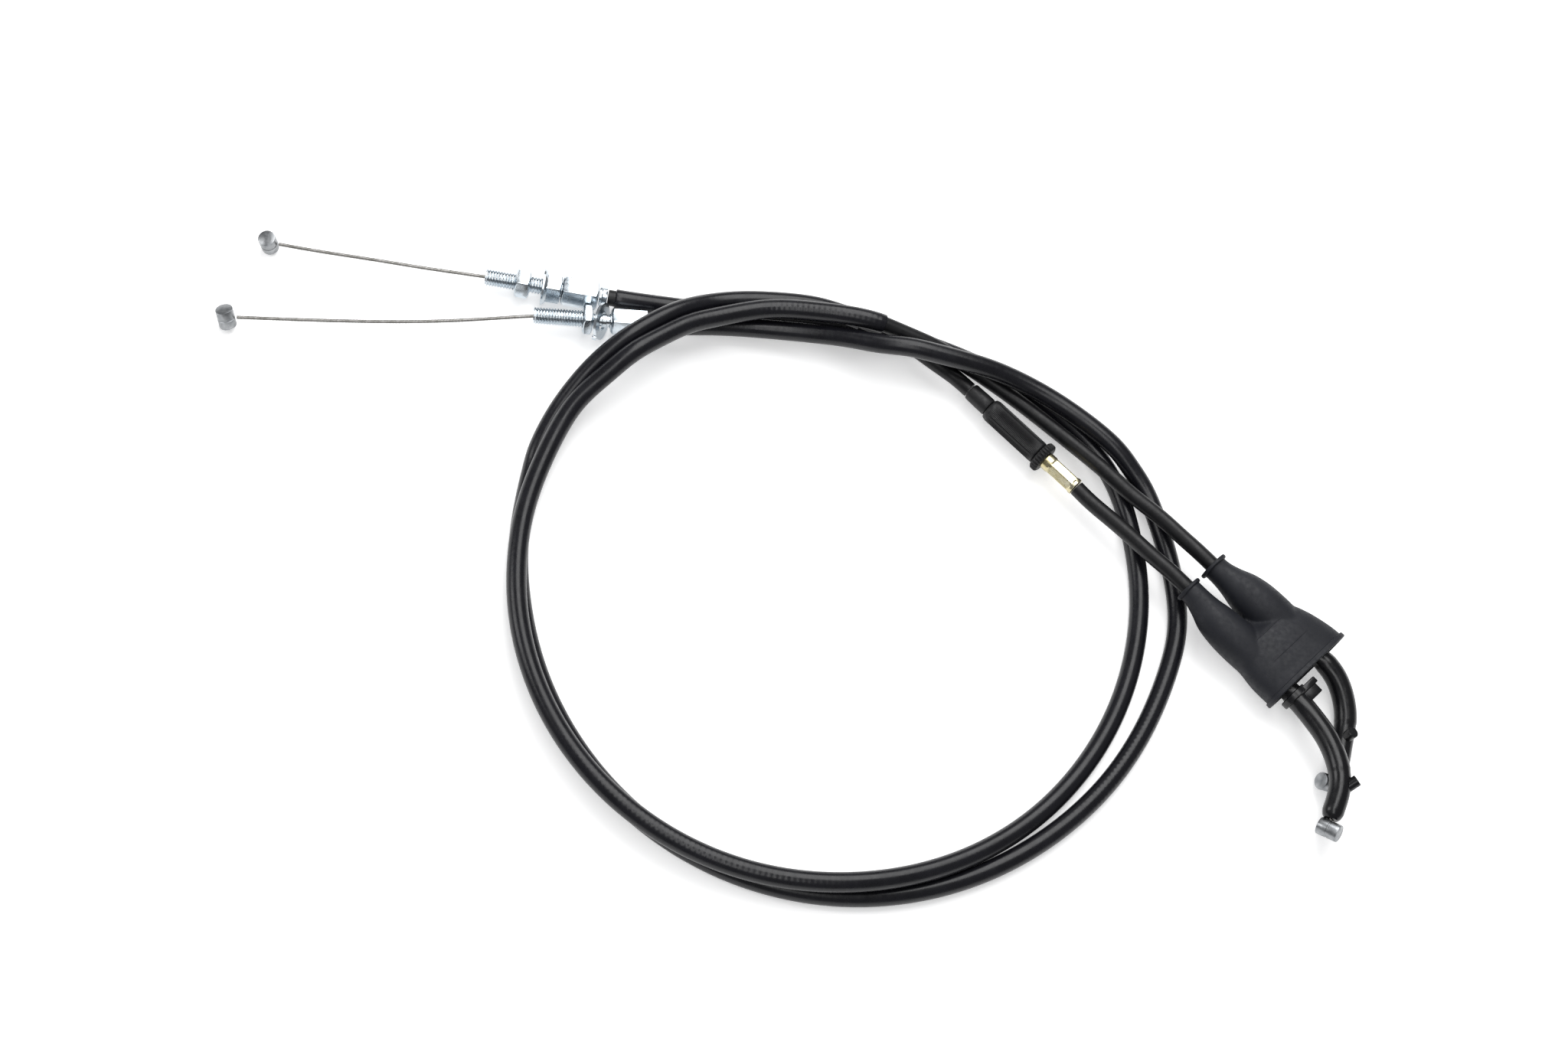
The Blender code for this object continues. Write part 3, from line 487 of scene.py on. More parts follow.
def thread(name, start, end, placement, count=40):
    """The outside of a right-hand thread: crest, crest, root, root in each pitch, on a helix."""
    profile = ((0.0, THREAD_ROOT_R), (0.10, THREAD_ROOT_R), (0.44, THREAD_R), (0.64, THREAD_R))
    rows = len(profile)
    turns = (end - start) / THREAD_PITCH + 2
    columns = int(turns * count)
    vertices = []
    for i in range(columns + 1):
        angle = math.tau * i / count
        for offset, radius in profile:
            z = start - THREAD_PITCH + THREAD_PITCH * (i / count + offset)
            z = min(max(z, start), end)
            lead = min((z - start), (end - z)) + THREAD_ROOT_R + 0.0001
            r = min(radius, max(lead, THREAD_ROOT_R))
            vertices.append((r * math.cos(angle), r * math.sin(angle), z))
    faces = []
    for i in range(columns - count):
        for j in range(rows - 1):
            a = i * rows + j
            faces.append((a, a + rows, a + rows + 1, a + 1))
        a = i * rows + rows - 1
        b = (i + count) * rows
        faces.append((a, a + rows, b + rows, b))
    obj = new_object(name, vertices, faces)
    shape = bmesh.new()
    shape.from_mesh(obj.data)
    bmesh.ops.dissolve_degenerate(shape, dist=0.000001, edges=shape.edges)
    bmesh.ops.remove_doubles(shape, verts=shape.verts, dist=0.000002)
    bmesh.ops.recalc_face_normals(shape, faces=shape.faces)
    shape.to_mesh(obj.data)
    shape.free()
    obj.data.transform(placement)
    return obj


# ---- materials ---------------------------------------------------------------------------------

def shader_material(name, colour, metallic, roughness, specular=0.5):
    made = bpy.data.materials.new(name)
    made.use_nodes = True
    shader = made.node_tree.nodes["Principled BSDF"]
    shader.inputs["Base Color"].default_value = (*colour, 1.0)
    shader.inputs["Metallic"].default_value = metallic
    shader.inputs["Roughness"].default_value = roughness
    shader.inputs["Specular IOR Level"].default_value = specular
    return made


def noise(made, scale, detail=3.0):
    """Noise over the piece, scale cells to the metre."""
    tree = made.node_tree
    place = tree.nodes.new("ShaderNodeTexCoord")
    texture = tree.nodes.new("ShaderNodeTexNoise")
    texture.inputs["Scale"].default_value = scale
    texture.inputs["Detail"].default_value = detail
    tree.links.new(place.outputs["Object"], texture.inputs["Vector"])
    return texture.outputs["Fac"]


def spread(made, value, low, high, from_low=0.3, from_high=0.7):
    """The value's usual span moved to low..high."""
    ranged = made.node_tree.nodes.new("ShaderNodeMapRange")
    ranged.inputs["From Min"].default_value = from_low
    ranged.inputs["From Max"].default_value = from_high
    ranged.inputs["To Min"].default_value = low
    ranged.inputs["To Max"].default_value = high
    made.node_tree.links.new(value, ranged.inputs["Value"])
    return ranged.outputs["Result"]


def vary_roughness(made, value, low, high):
    shader = made.node_tree.nodes["Principled BSDF"]
    made.node_tree.links.new(spread(made, value, low, high), shader.inputs["Roughness"])


def vary_colour(made, value, first, second):
    tree = made.node_tree
    mix = tree.nodes.new("ShaderNodeMix")
    mix.data_type = "RGBA"
    mix.inputs["A"].default_value = (*first, 1.0)
    mix.inputs["B"].default_value = (*second, 1.0)
    tree.links.new(spread(made, value, 0.0, 1.0), mix.inputs["Factor"])
    tree.links.new(mix.outputs["Result"], tree.nodes["Principled BSDF"].inputs["Base Color"])


def add_bump(made, value, strength, distance):
    tree = made.node_tree
    bump = tree.nodes.new("ShaderNodeBump")
    bump.inputs["Strength"].default_value = strength
    bump.inputs["Distance"].default_value = distance
    tree.links.new(value, bump.inputs["Height"])
    shader = tree.nodes["Principled BSDF"]
    if shader.inputs["Normal"].is_linked:
        tree.links.new(shader.inputs["Normal"].links[0].from_socket, bump.inputs["Normal"])
    tree.links.new(bump.outputs["Normal"], shader.inputs["Normal"])


def add_ribs(made, period, windows, strength, distance):
    """Ribs across a casing, showing only in the stretches (middle, half length) of windows."""
    tree = made.node_tree
    along = tree.nodes.new("ShaderNodeAttribute")
    along.attribute_name = "along"

    def calc(operation, first, second):
        node = tree.nodes.new("ShaderNodeMath")
        node.operation = operation
        for socket, value in zip(node.inputs, (first, second)):
            if isinstance(value, (int, float)):
                socket.default_value = value
            elif value is not None:
                tree.links.new(value, socket)
        return node.outputs["Value"]

    wave = calc("SINE", calc("MULTIPLY", along.outputs["Fac"], math.tau / period), None)
    shown = None
    for middle, half in windows:
        off = calc("ABSOLUTE", calc("SUBTRACT", along.outputs["Fac"], middle), None)
        near = calc("MAXIMUM", calc("SUBTRACT", 1.0, calc("DIVIDE", off, half)), 0.08)
        shown = near if shown is None else calc("MAXIMUM", shown, near)
    add_bump(made, calc("MULTIPLY", wave, shown), strength, distance)


def zinc_material():
    made = shader_material("zinc_plate", (0.56, 0.61, 0.65), 1.0, 0.22)
    vary_colour(made, noise(made, 380), (0.50, 0.56, 0.61), (0.62, 0.66, 0.69))
    vary_roughness(made, noise(made, 700), 0.17, 0.28)
    add_bump(made, noise(made, 900, 3), 0.06, 0.00008)
    return made


def gold_material():
    made = shader_material("yellow_zinc", (0.58, 0.52, 0.32), 1.0, 0.26)
    vary_colour(made, noise(made, 260), (0.50, 0.43, 0.22), (0.66, 0.62, 0.46))
    vary_roughness(made, noise(made, 1200), 0.18, 0.36)
    add_bump(made, noise(made, 1500, 3), 0.18, 0.00010)
    return made


def nipple_material():
    made = shader_material("cast_nipple", (0.32, 0.33, 0.34), 1.0, 0.38)
    vary_colour(made, noise(made, 420, 3), (0.22, 0.23, 0.24), (0.38, 0.39, 0.40))
    vary_roughness(made, noise(made, 1100), 0.30, 0.46)
    add_bump(made, noise(made, 1300, 3), 0.16, 0.00010)
    return made


def wire_material():
    made = shader_material("stranded_wire", (0.25, 0.245, 0.23), 1.0, 0.38)
    vary_colour(made, noise(made, 500), (0.19, 0.185, 0.17), (0.31, 0.30, 0.29))
    vary_roughness(made, noise(made, 1800), 0.28, 0.50)
    return made


def sleeve_material(name, windows):
    made = shader_material(name, (0.006, 0.006, 0.008), 0.0, 0.28, 0.34)
    vary_colour(made, noise(made, 90), (0.005, 0.005, 0.007), (0.008, 0.008, 0.011))
    vary_roughness(made, noise(made, 420), 0.23, 0.33)
    add_bump(made, noise(made, 1500, 2), 0.05, 0.00005)
    add_ribs(made, 0.0019, windows, 0.30, 0.00007)
    return made


def casing_material():
    made = shader_material("casing_plastic", (0.006, 0.006, 0.007), 0.0, 0.38, 0.30)
    vary_roughness(made, noise(made, 600), 0.32, 0.46)
    add_bump(made, noise(made, 2200, 2), 0.10, 0.00005)
    return made


def elbow_material():
    made = shader_material("elbow_plastic", (0.005, 0.005, 0.006), 0.0, 0.24, 0.38)
    vary_roughness(made, noise(made, 300), 0.19, 0.32)
    add_bump(made, noise(made, 700, 3), 0.08, 0.00008)
    return made


def moulded_material():
    made = shader_material("adjuster_plastic", (0.009, 0.009, 0.010), 0.0, 0.46, 0.34)
    vary_roughness(made, noise(made, 900), 0.38, 0.56)
    add_bump(made, noise(made, 3000, 2), 0.18, 0.00005)
    return made


def rubber_material():
    made = shader_material("boot_rubber", (0.011, 0.012, 0.016), 0.0, 0.56, 0.34)
    vary_colour(made, noise(made, 120, 4), (0.009, 0.010, 0.014), (0.014, 0.015, 0.020))
    vary_roughness(made, noise(made, 650, 4), 0.48, 0.66)
    add_bump(made, noise(made, 2400, 3), 0.22, 0.00006)
    return made


ZINC = zinc_material()
GOLD = gold_material()
NIPPLE = nipple_material()
WIRE = wire_material()
SLEEVE_A = sleeve_material("vinyl_sleeve_a", ((0.735, 0.050), (0.455, 0.070)))
SLEEVE_B = sleeve_material("vinyl_sleeve_b", ((0.300, 0.060),))
CASING_LOOK = casing_material()
ELBOW = elbow_material()
MOULDED = moulded_material()
RUBBER = rubber_material()


def finish_piece(obj, look, slot, body, *nodes, degrees=32):
    """Gives a piece its look, the body it rides on and the CAD nodes it stands for. The slot is not
    used.
    """
    obj.data.materials.clear()
    obj.data.materials.append(look)
    smooth_shading(obj, degrees)
    if body:
        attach(obj, body)
    if nodes:
        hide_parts(*nodes)
    return obj


# ---- camera, light and floor -------------------------------------------------------------------
LENS_MM = 70.79
CAMERA_PLACE = Vector((-0.1520, -0.4136, 0.9604))
CAMERA_RIGHT = Vector((0.98787, 0.0, 0.15533))
CAMERA_UP = Vector((-0.06180, 0.91744, 0.39304))
SKY_STRENGTH = 0.24
FLOOR_GLOW = 0.40
FLOOR_HALF_SIDE = 3.0


def make_camera():
    data = bpy.data.cameras.new("camera")
    data.sensor_width = 36
    data.lens = LENS_MM
    camera = bpy.data.objects.new("camera", data)
    bpy.context.scene.collection.objects.link(camera)
    back = CAMERA_RIGHT.cross(CAMERA_UP)
    turn = Matrix((CAMERA_RIGHT, CAMERA_UP, back)).transposed()
    camera.matrix_world = Matrix.Translation(CAMERA_PLACE) @ turn.to_4x4()
    bpy.context.scene.camera = camera


def softbox(name, place, aim, size, power):
    data = bpy.data.lights.new(name, "AREA")
    data.shape = "RECTANGLE"
    data.size, data.size_y = size
    data.energy = power
    light = bpy.data.objects.new(name, data)
    bpy.context.scene.collection.objects.link(light)
    place = Vector(place)
    light.matrix_world = axis_frame(place, place - Vector(aim), Vector((0, 1, 0.2)))


def make_studio():
    bpy.context.scene.view_settings.view_transform = "Standard"
    world = bpy.data.worlds.new("studio")
    bpy.context.scene.world = world
    world.use_nodes = True
    sky = world.node_tree.nodes["Background"]
    sky.inputs["Color"].default_value = (0.97, 0.98, 1.0, 1.0)
    sky.inputs["Strength"].default_value = SKY_STRENGTH
    softbox("back", (0.22, 0.78, 1.35), (0.02, 0.0, 0), (1.5, 0.95), 20)
    softbox("left", (-1.2, 0.25, 0.8), (0.0, 0.0, 0), (0.5, 0.8), 5)
    softbox("top", (-0.20, -0.45, 1.65), (0.0, 0.0, 0), (1.5, 0.5), 8)
    floor_mesh = bpy.data.meshes.new("floor")
    shape = bmesh.new()
    bmesh.ops.create_grid(shape, x_segments=1, y_segments=1, size=FLOOR_HALF_SIDE)
    shape.to_mesh(floor_mesh)
    shape.free()
    floor = bpy.data.objects.new("floor", floor_mesh)
    bpy.context.scene.collection.objects.link(floor)
    white = shader_material("floor_white", (0.93, 0.93, 0.93), 0.0, 0.9)
    shader = white.node_tree.nodes["Principled BSDF"]
    shader.inputs["Emission Color"].default_value = (1.0, 1.0, 1.0, 1.0)
    shader.inputs["Emission Strength"].default_value = FLOOR_GLOW
    floor_mesh.materials.append(white)


# ---- cables ------------------------------------------------------------------------------------

def make_casing(name, curve, nodes):
    points, _ = read_curve(curve, RING_STEP, floor=CASING_R)
    piece = sweep(name, points, CASING_R, 24)
    finish_piece(piece, CASING_LOOK, "casing_plastic", CASING, *nodes)
    return piece, points


def make_sleeve(name, curve, start, end, look, node):
    """The vinyl sleeve over a casing, cut square with softened rims."""
    points, stops = read_curve(curve, RING_STEP, start, end, SLEEVE_R)
    rim = ((0.00005, CASING_R + 0.0001), (0.00025, SLEEVE_R - 0.0001), (0.0005, SLEEVE_R))
    run = distances(curve)
    extra = [start + d for d, r in rim] + [end - d for d, r in reversed(rim)]
    radii = [r for d, r in rim] + [r for d, r in reversed(rim)]
    ends = np.stack([np.interp(extra, run, curve[:, k]) for k in range(3)], axis=1)
    ends[:, 2] = np.maximum(ends[:, 2], SLEEVE_R)
    half = len(rim)
    points = np.vstack([ends[:half], points[1:-1], ends[half:]])
    radii = radii[:half] + [SLEEVE_R] * (len(stops) - 2) + radii[half:]
    piece = sweep(name, points, radii, 28)
    return finish_piece(piece, look, "vinyl_sleeve", CASING, node)


def make_cables():
    curve_a = smooth_curve(CABLE_A_START + oval_turn(**TURN_A) + CABLE_A_END)
    casing_a, points = make_casing("cable_a_casing", curve_a, ["casing_a_bare"])
    sleeve_a = make_sleeve("cable_a_sleeve", curve_a, SLEEVE_START, SLEEVE_A_LENGTH, SLEEVE_A,
                           "casing_a_sleeved")

    curve_b = smooth_curve(CABLE_B_START + oval_turn(**TURN_B) + CABLE_B_END)
    length_b = distances(curve_b)[-1]
    casing_b, points = make_casing("cable_b_casing", curve_b, ["casing_b_bare_upper"])
    sleeve_b = make_sleeve("cable_b_sleeve", curve_b, SLEEVE_START, length_b - BARE_B_LENGTH,
                           SLEEVE_B, "casing_b_sleeved")

    curve_lower = smooth_curve(CABLE_B_LOWER)
    lower, points = make_casing("cable_b_casing_lower", curve_lower, ["casing_b_bare_lower"])


def laid_wire(name, points):
    """Stranded wire: seven strands laid round each other."""
    return sweep(name, points, WIRE_R, 28, lobes=7, depth=0.00014, pitch=0.0075)


def make_near_wire(name, route, node, body, shortens):
    """Wire A is straight enough to slide into its adjuster whole. Wire B is bent, so it shortens
    between its nipple and the adjuster's mouth."""
    curve = smooth_curve(route)
    points, _ = read_curve(curve, WIRE_RING_STEP)
    piece = laid_wire(name, points)
    finish_piece(piece, WIRE, "stranded_wire", None if shortens else body, node, degrees=60)
    if shortens:
        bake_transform(piece)


def make_far_wire(name, mouth, pull, nipple, node):
    """The wire's last stretch, which draws out of the elbow as the nipple is pulled."""
    centre = Vector(NIPPLES[nipple][0])
    start = mouth - pull * FAR_WIRE_IN_ELBOW
    end = centre - pull * (NIPPLE_R + 0.0004)
    count = 40
    piece = laid_wire(name, [start.lerp(end, k / count) for k in range(count + 1)])
    finish_piece(piece, WIRE, "stranded_wire", None, node, degrees=60)
    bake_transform(piece)


# ---- nipples -----------------------------------------------------------------------------------

def make_nipple(name, body):
    """A die-cast barrel with a parting groove round its middle."""
    centre, axis, length = NIPPLES[name]
    half = length / 2
    outline = [(NIPPLE_R - 0.00022, -half), (NIPPLE_R - 0.00006, -half + 0.00008),
               (NIPPLE_R, -half + 0.00025), (NIPPLE_R, -0.00035), (NIPPLE_R - 0.00016, -0.00022),
               (NIPPLE_R - 0.00016, 0.00022), (NIPPLE_R, 0.00035), (NIPPLE_R, half - 0.00025),
               (NIPPLE_R - 0.00006, half - 0.00008), (NIPPLE_R - 0.00022, half)]
    placement = axis_frame(Vector(centre), Vector(axis), LEAN)
    piece = lathe(name + "_cast", outline, placement, 56)
    return finish_piece(piece, NIPPLE, "cast_nipple", body, name)


# ---- adjusters at the carburettor end ----------------------------------------------------------

def tip_face(name, start, placement):
    """The tube's end ring and the bore behind it."""
    outline = [(THREAD_ROOT_R + 0.0001, start + 0.0002), (THREAD_ROOT_R + 0.0001, start),
               (ADJUSTER_BORE_R + 0.00015, start), (ADJUSTER_BORE_R, start + 0.0002),
               (ADJUSTER_BORE_R, start + 0.0370)]
    return lathe(name, outline, placement, 48)


def make_adjuster_a():
    placement = axis_frame(ADJUSTER_A_TIP, ADJUSTER_A_END - ADJUSTER_A_TIP)
    barrel = hexagon("barrel_a", BARREL_A_FLATS, *BARREL_A, placement, 0.0009, turn=2)
    collar = lathe("collar_a", [(0.0026, 0.0262), (0.0026, 0.0272)], placement, 48)
    pieces = [barrel, collar, thread("thread_a", 0.0, THREAD_A_END, placement),
              tip_face("tip_a", 0.0, placement)]
    finish_piece(join(pieces, "adjuster_a"), ZINC, "zinc_plate", CASING, "adjuster_a_body")

    nut = bore(hexagon("nut_a", NUT_FLATS, *A_LOCK_NUT, placement, 0.0009), placement,
               NUT_BORE_R, 0.0, DRILL_LENGTH)
    finish_piece(nut, ZINC, "zinc_plate", "lock_nut_a", "adjuster_a_lock_nut")

    hexed = hexagon("flange_nut_a", NUT_FLATS, *A_FLANGE_NUT, placement, 0.0007)
    flange_outline = [(0.0058, 0.0199), (0.0064, 0.0200), (0.0064, 0.0206), (0.0061, 0.0210),
                      (0.0054, 0.0217)]
    flange = lathe("flange_a", flange_outline, placement, 96)
    boolean(hexed, flange, "UNION")
    bore(hexed, placement, NUT_BORE_R, 0.0, DRILL_LENGTH)
    finish_piece(hexed, ZINC, "zinc_plate", "flange_nut_a", "adjuster_a_flange_nut")

    def crimp(angle, radius, distance):
        """Eight pressed flats in the middle of the ferrule."""
        if not 0.0411 < distance < 0.0423:
            return radius
        bite = math.pi / 4
        return min(radius, 0.00325 / math.cos((angle + bite / 2) % bite - bite / 2))

    outline = [(0.0030, 0.0401), (0.0034, 0.0402), (0.0034, 0.0408), (0.00325, 0.0410),
               (0.0034, 0.0412), (0.0034, 0.0422), (0.0034, 0.0426), (0.0031, 0.0428)]
    ferrule = lathe("casing_ferrule_a", outline, placement, 96, crimp)
    finish_piece(ferrule, ZINC, "zinc_plate", CASING, "casing_a_end_ferrule", degrees=22)


def make_adjuster_b():
    placement = axis_frame(ADJUSTER_B_TIP, ADJUSTER_B_END - ADJUSTER_B_TIP)
    barrel = hexagon("barrel_b", BARREL_B_FLATS, *BARREL_B, placement, 0.0008)
    neck = lathe("neck_b", [(THREAD_ROOT_R, 0.0203), (THREAD_ROOT_R, 0.0206), (0.0021, 0.0208),
                            (0.0021, 0.0236), (0.0024, 0.0238), (0.0024, 0.0252),
                            (0.0021, 0.0254), (0.0021, 0.0262), (0.0026, 0.0266),
                            (0.0026, 0.0272)], placement, 56)
    pieces = [barrel, neck, thread("thread_b", 0.0, THREAD_B_END, placement),
              tip_face("tip_b", 0.0, placement)]
    finish_piece(join(pieces, "adjuster_b"), ZINC, "zinc_plate", CASING, "adjuster_b_body")

    nut = bore(hexagon("nut_b", NUT_FLATS, *B_LOCK_NUT, placement, 0.0008), placement,
               NUT_BORE_R, 0.0, DRILL_LENGTH)
    finish_piece(nut, ZINC, "zinc_plate", "lock_nut_b", "adjuster_b_lock_nut")
    ferrule = lathe("casing_ferrule_b", [(0.0030, 0.0400), (0.0034, 0.0401), (0.0034, 0.0427),
                                         (0.0031, 0.0430)], placement, 64)
    finish_piece(ferrule, ZINC, "zinc_plate", CASING, "casing_b_end_ferrule")


def make_tab_washer():
    """A loose washer leaning on the neck, with a tab bent back over the lock nut."""
    placement = axis_frame(WASHER_CENTRE, WASHER_NORMAL)
    outline = [(0.0032, -0.0005), (0.0065, -0.0005), (0.0066, -0.0004), (0.0066, 0.0004),
               (0.0065, 0.0005), (0.0032, 0.0005)]
    ring = ring_lathe("washer_ring", outline, placement, 80)
    outward = Vector((0, -1, 0))
    lie = (outward - WASHER_NORMAL * outward.dot(WASHER_NORMAL)).normalized()
    centre = WASHER_CENTRE + lie * 0.0067 - WASHER_NORMAL * 0.0006
    tab = box_piece("tab", (0.0016, 0.0009, 0.0022), axis_frame(centre, UP, WASHER_NORMAL),
                    0.0002)
    boolean(ring, tab, "UNION")
    finish_piece(ring, ZINC, "zinc_plate", "tab_washer_b", "adjuster_b_tab_washer")


# ---- inline adjuster ---------------------------------------------------------------------------

BARREL_RIBS = 52
BARREL_STRIPS = 4
RING_TEETH = 28
FERRULE_FLATS = 6


def make_inline_adjuster():
    placement = axis_frame(INLINE_START, INLINE_END - INLINE_START)
    cap = lathe("end_cap", [(0.0028, 0.0003), (0.0031, 0.0006), (0.0032, 0.0012),
                            (0.0033, 0.0060), (0.0033, 0.0086), (0.0031, 0.0090),
                            (0.0021, 0.0091), (0.0021, 0.0124)], placement, 64)
    finish_piece(cap, MOULDED, "adjuster_plastic", CASING, "inline_end_cap")

    def ribbed(angle, radius, distance):
        """Fine lengthwise ribs, broken by plain raised strips."""
        if radius < 0.0038 or not 0.0112 < distance < 0.0322:
            return radius
        share = (angle / math.tau * BARREL_STRIPS + 0.38) % 1.0
        if share < 0.13:
            return radius + 0.00004
        return radius - 0.00022 * (0.5 + 0.5 * math.cos(BARREL_RIBS * angle))

    steps = [(0.00425, 0.0111 + 0.0211 * k / 12) for k in range(13)]
    outline = [(0.00275, 0.0330), (0.0039, 0.0330), (0.0042, 0.0327), *reversed(steps),
               (0.0042, 0.0106), (0.0039, 0.0097), (0.0036, 0.0094), (0.0026, 0.0093)]
    barrel = ring_lathe("ribbed_barrel", outline, placement, 416, ribbed)
    finish_piece(barrel, MOULDED, "adjuster_plastic", "barrel", "inline_barrel", degrees=50)

    def toothed(angle, radius, distance):
        """Rounded teeth round the ring's rim, the same at every distance."""
        if radius < 0.0050:
            return radius
        wave = 0.5 + 0.5 * math.cos(RING_TEETH * angle)
        return radius - 0.00055 * min(1.0, max(0.0, 1.6 * wave - 0.3))

    outline = [(0.00275, 0.0333), (0.0049, 0.0333), (0.0054, 0.0337), (0.00565, 0.0341),
               (0.00565, 0.0356), (0.0054, 0.0360), (0.0049, 0.0363), (0.00275, 0.0363)]
    ring = ring_lathe("toothed_ring", outline, placement, 336, toothed)
    finish_piece(ring, MOULDED, "adjuster_plastic", "lock_ring", "inline_lock_ring", degrees=40)

    def pressed(angle, radius, distance):
        """Six pressed flats along the ferrule's middle."""
        if radius < 0.0030 or not 0.0395 < distance < 0.0494:
            return radius
        bite = math.tau / FERRULE_FLATS
        return min(radius, 0.00282 / math.cos((angle + bite / 2) % bite - bite / 2))

    body = [(0.00315, 0.0366 + 0.0138 * k / 28) for k in range(29)]
    outline = [(0.0021, 0.0140), (0.0025, 0.0144), (0.0025, 0.0364), *body, (0.0032, 0.0505),
               (0.0029, 0.0506)]
    ferrule = lathe("gold_ferrule", outline, placement, 96, pressed)
    finish_piece(ferrule, GOLD, "yellow_zinc", CASING, "inline_threaded_ferrule", degrees=24)


# ---- elbows ------------------------------------------------------------------------------------

def elbow_tube(name, inner, outer):
    """The bent tube: full thickness with a mould step part-way round, then a bevelled mouth."""
    curve = smooth_curve([boot_point(*p) for p in inner] + [Vector(p) for p in outer])
    points, stops = read_curve(curve, ELBOW_RING_STEP)
    along = (points - np.array(BOOT_ORIGIN)) @ np.array(BOOT_ALONG)
    left = stops[-1] - stops
    grown = np.clip((along - ELBOW_STEP_ALONG) / ELBOW_STEP_LENGTH, 0, 1)
    radii = ELBOW_INNER_R + (ELBOW_R - ELBOW_INNER_R) * grown
    radii = np.where(left < ELBOW_SEAM_LEFT, radii - ELBOW_SEAM_DEPTH, radii)
    taper = np.sqrt(np.clip(left / ELBOW_TAPER, 0, 1))
    full = ELBOW_R - ELBOW_SEAM_DEPTH
    radii = np.where(left < ELBOW_TAPER, ELBOW_LIP_R + (full - ELBOW_LIP_R) * taper, radii)
    return sweep(name, points, radii, 48)


def make_elbow(name, inner, outer, peg, pull):
    tube = elbow_tube(name + "_tube", inner, outer)
    peg_rod = rod(name + "_peg", peg[0], peg[1], PEG_R, 0.00018)
    boolean(tube, peg_rod, "UNION")
    mouth = Vector(outer[-1])
    drilled = axis_frame(mouth + pull * 0.001, -pull, LEAN)
    bore(tube, drilled, ELBOW_BORE_R, 0, ELBOW_BORE_LENGTH)
    return tube


def make_elbows():
    elbow_a = make_elbow("elbow_a", ELBOW_A_INNER, ELBOW_A_OUTER, PEG_A, PULL_A)
    finish_piece(elbow_a, ELBOW, "elbow_plastic", CASING, "elbow_a")

    elbow_b = make_elbow("elbow_b", ELBOW_B_INNER, ELBOW_B_OUTER, PEG_B, PULL_B)
    seat = boot_point(COLLAR_ALONG, -0.0063, 0.0107)
    collar = lathe("collar", [(0.0048, -0.00125), (0.0051, -0.00095), (0.0051, 0.00095),
                              (0.0048, 0.00125)], axis_frame(seat, BOOT_ALONG), 72)
    for size, centre in KEY_BLOCKS:
        key = box_piece("key", size, axis_frame(boot_point(*centre), UP, BOOT_ALONG), 0.00035)
        boolean(collar, key, "UNION")
    boolean(elbow_b, collar, "UNION")
    finish_piece(elbow_b, ELBOW, "elbow_plastic", CASING, "elbow_b")
    for node in ("elbow_a_ferrule", "elbow_b_ferrule"):
        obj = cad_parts[node]
        obj.data.materials.clear()
        obj.data.materials.append(ELBOW)


# ---- boot --------------------------------------------------------------------------------------

def oval_loft(name, stations, count=72):
    """Loft of flattened ovals: (along, across, height, half width, half height) stations."""
    vertices = []
    for along, across, height, wide, high in stations:
        for i in range(count):
            angle = math.tau * i / count
            side = math.copysign(abs(math.cos(angle)) ** 0.85, math.cos(angle))
            rise = math.copysign(abs(math.sin(angle)) ** 0.85, math.sin(angle))
            vertices.append(boot_point(along, across + wide * side, height + high * rise))
    faces = ring_faces(len(stations), count)
    faces.append(tuple(reversed(range(count))))
    faces.append(tuple(range((len(stations) - 1) * count, len(stations) * count)))
    obj = new_object(name, vertices, faces)
    shape = bmesh.new()
    shape.from_mesh(obj.data)
    bmesh.ops.recalc_face_normals(shape, faces=shape.faces)
    shape.to_mesh(obj.data)
    shape.free()
    return obj


def smooth_stations(stations, steps):
    """The stations' own values on a smooth curve."""
    table = np.array(stations)
    along = np.linspace(table[0, 0], table[-1, 0], steps)
    slopes = np.gradient(table, table[:, 0], axis=0)
    read = []
    for a in along:
        k = min(max(np.searchsorted(table[:, 0], a) - 1, 0), len(table) - 2)
        h = table[k + 1, 0] - table[k, 0]
        u = (a - table[k, 0]) / h
        read.append((2 * u ** 3 - 3 * u ** 2 + 1) * table[k] + (u ** 3 - 2 * u ** 2 + u) * h
                    * slopes[k] + (3 * u ** 2 - 2 * u ** 3) * table[k + 1]
                    + (u ** 3 - u ** 2) * h * slopes[k + 1])
    return [tuple(row) for row in read]


def branch(name, stations, count=48):
    rows = smooth_stations(stations, 40)
    points = [boot_point(a, c, h) for a, c, h, r in rows]
    return sweep(name, points, [r for a, c, h, r in rows], count)


def remesh(obj, voxel, rounds):
    fine = obj.modifiers.new("voxels", "REMESH")
    fine.mode = "VOXEL"
    fine.voxel_size = voxel
    soften = obj.modifiers.new("soften", "SMOOTH")
    soften.factor = 0.5
    soften.iterations = rounds
    return apply_modifiers(obj)


def surface_welt(name, tree, along, start, end, radius):
    """A thin raised line across the top of the boot, laid on its surface."""
    points = []
    for across in np.linspace(start, end, 40):
        above = boot_point(along, across, 0.04)
        hit = tree.ray_cast(above, -UP)[0]
        points.append(hit - UP * radius * 0.35)
    fade = np.sin(np.linspace(0.12, math.pi - 0.12, len(points))) ** 0.4
    return sweep(name, points, radius * fade, 12)


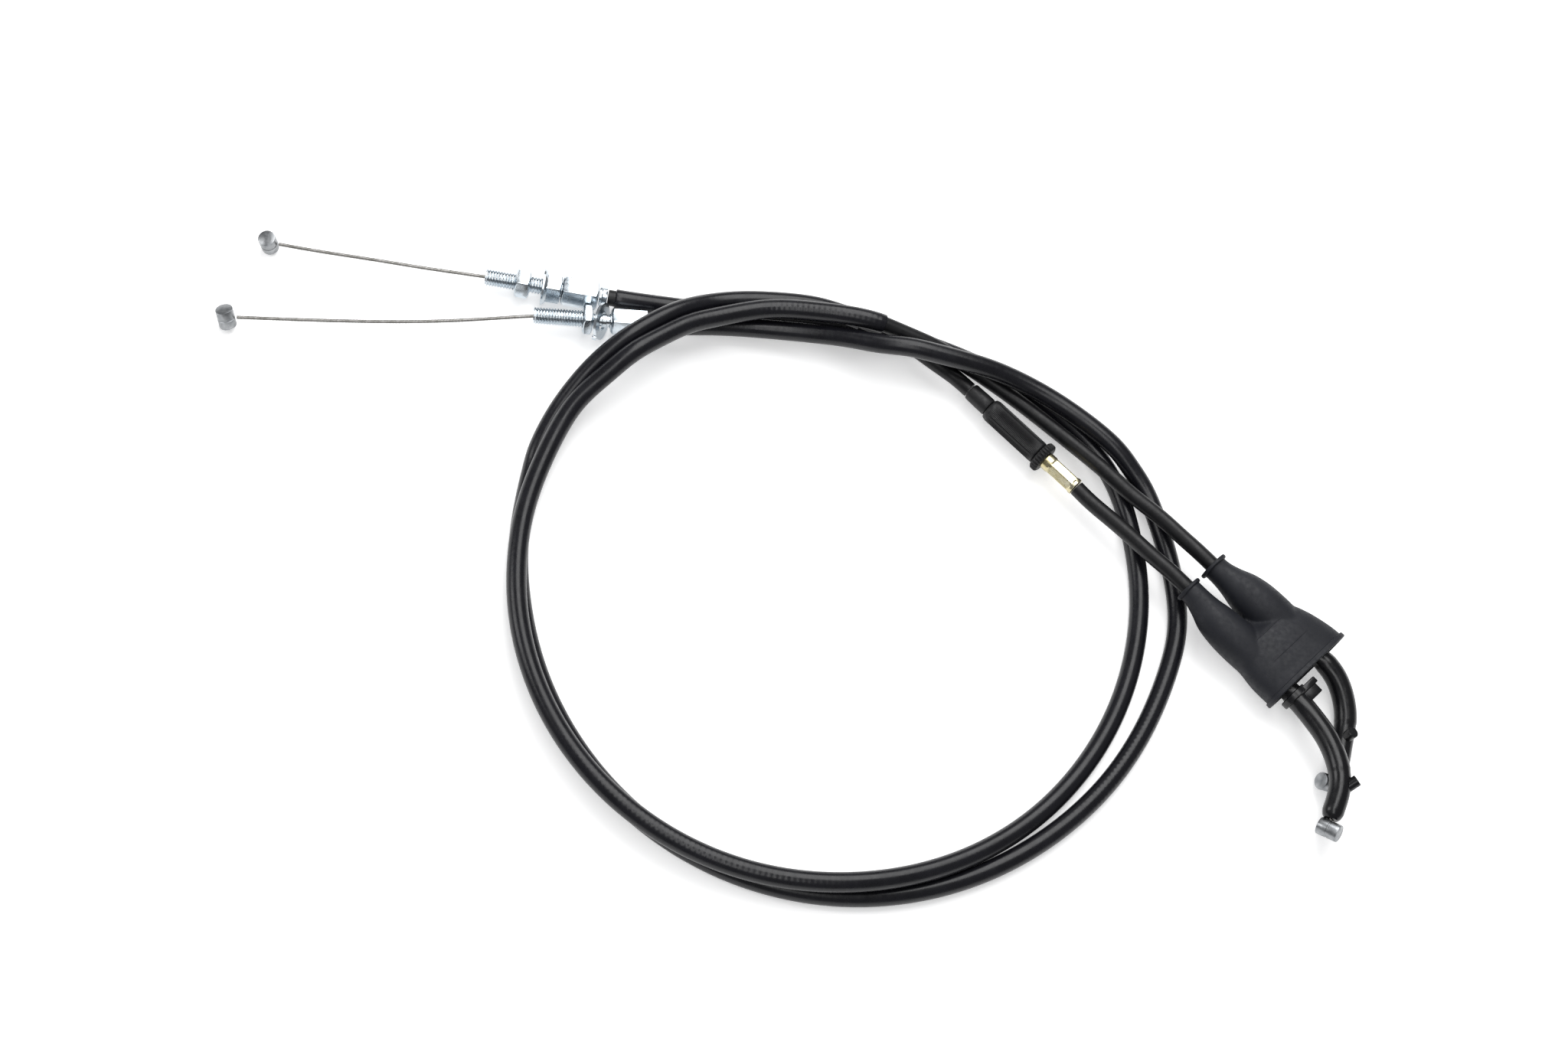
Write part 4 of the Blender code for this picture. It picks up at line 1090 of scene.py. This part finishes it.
def make_boot():
    """Two ported branches that run together into one wide oval mouth with a lip."""
    body = oval_loft("boot_body", smooth_stations(BOOT_BODY, 30))
    boot = join([body, branch("branch_a", BRANCH_A), branch("branch_b", BRANCH_B)], "boot")
    remesh(boot, BOOT_VOXEL, BOOT_SOFTENING)
    tree = BVHTree.FromObject(boot, bpy.context.evaluated_depsgraph_get())
    welts = [surface_welt("welt_%d" % k, tree, *line) for k, line in enumerate(BOOT_LINES)]

    rim = oval_loft("boot_rim", [(0.0463, 0.0046, 0.0096, 0.0183, 0.0085),
                                 (0.0466, 0.0046, 0.0096, 0.0192, 0.0094),
                                 (0.0480, 0.0046, 0.0096, 0.0193, 0.0095),
                                 (0.0483, 0.0046, 0.0096, 0.0190, 0.0092)], 96)
    boolean(boot, rim, "UNION")
    for side, stations, flange_r in (("a", BRANCH_A, 0.0055), ("b", BRANCH_B, 0.0050)):
        seat = axis_frame(boot_point(*stations[0][:3]), BOOT_ALONG)
        flange = lathe("flange_" + side, [(flange_r - 0.0002, -0.0004), (flange_r, -0.0002),
                                          (flange_r, 0.0006), (flange_r - 0.0003, 0.0009)],
                       seat, 72)
        boolean(boot, flange, "UNION")
    inside = [(a + 0.0012, c, h, w - BOOT_WALL, t - BOOT_WALL) for a, c, h, w, t in BOOT_BODY]
    inside.append((0.0500, *inside[-1][1:]))
    boolean(boot, oval_loft("boot_inside", smooth_stations(inside, 24), 60), "DIFFERENCE")
    for side, stations in (("a", BRANCH_A), ("b", BRANCH_B)):
        bored = [(a, c, h, r - BOOT_WALL) for a, c, h, r in stations]
        bored[0] = (-0.0030, *stations[0][1:3], PORT_BORE_R)
        bored[1] = (*stations[1][:3], PORT_BORE_R)
        boolean(boot, branch("inside_" + side, bored, 40), "DIFFERENCE")
    boot = join([boot, *welts], "boot_moulding")
    finish_piece(boot, RUBBER, "boot_rubber", "boot", "twin_boot", degrees=40)


def main():
    make_camera()
    make_studio()
    make_cables()
    nipples = {name: make_nipple(name, body) for name, body in (
        ("nipple_a_near", "cable_a_near_end"), ("nipple_b_near", "cable_b_near_end"),
        ("nipple_a_far", "cable_a_far_end"), ("nipple_b_far", "cable_b_far_end"))}
    make_near_wire("wire_a", WIRE_A_ROUTE, "wire_a_near",
                   "cable_a_near_end", False)
    make_near_wire("wire_b", WIRE_B_ROUTE, "wire_b_near",
                   "cable_b_near_end", True)
    make_far_wire("wire_a_out", Vector(ELBOW_A_OUTER[-1]), PULL_A, "nipple_a_far", "wire_a_far")
    make_far_wire("wire_b_out", Vector(ELBOW_B_OUTER[-1]), PULL_B, "nipple_b_far", "wire_b_far")
    make_adjuster_a()
    make_adjuster_b()
    make_tab_washer()
    make_inline_adjuster()
    make_elbows()
    make_boot()


main()
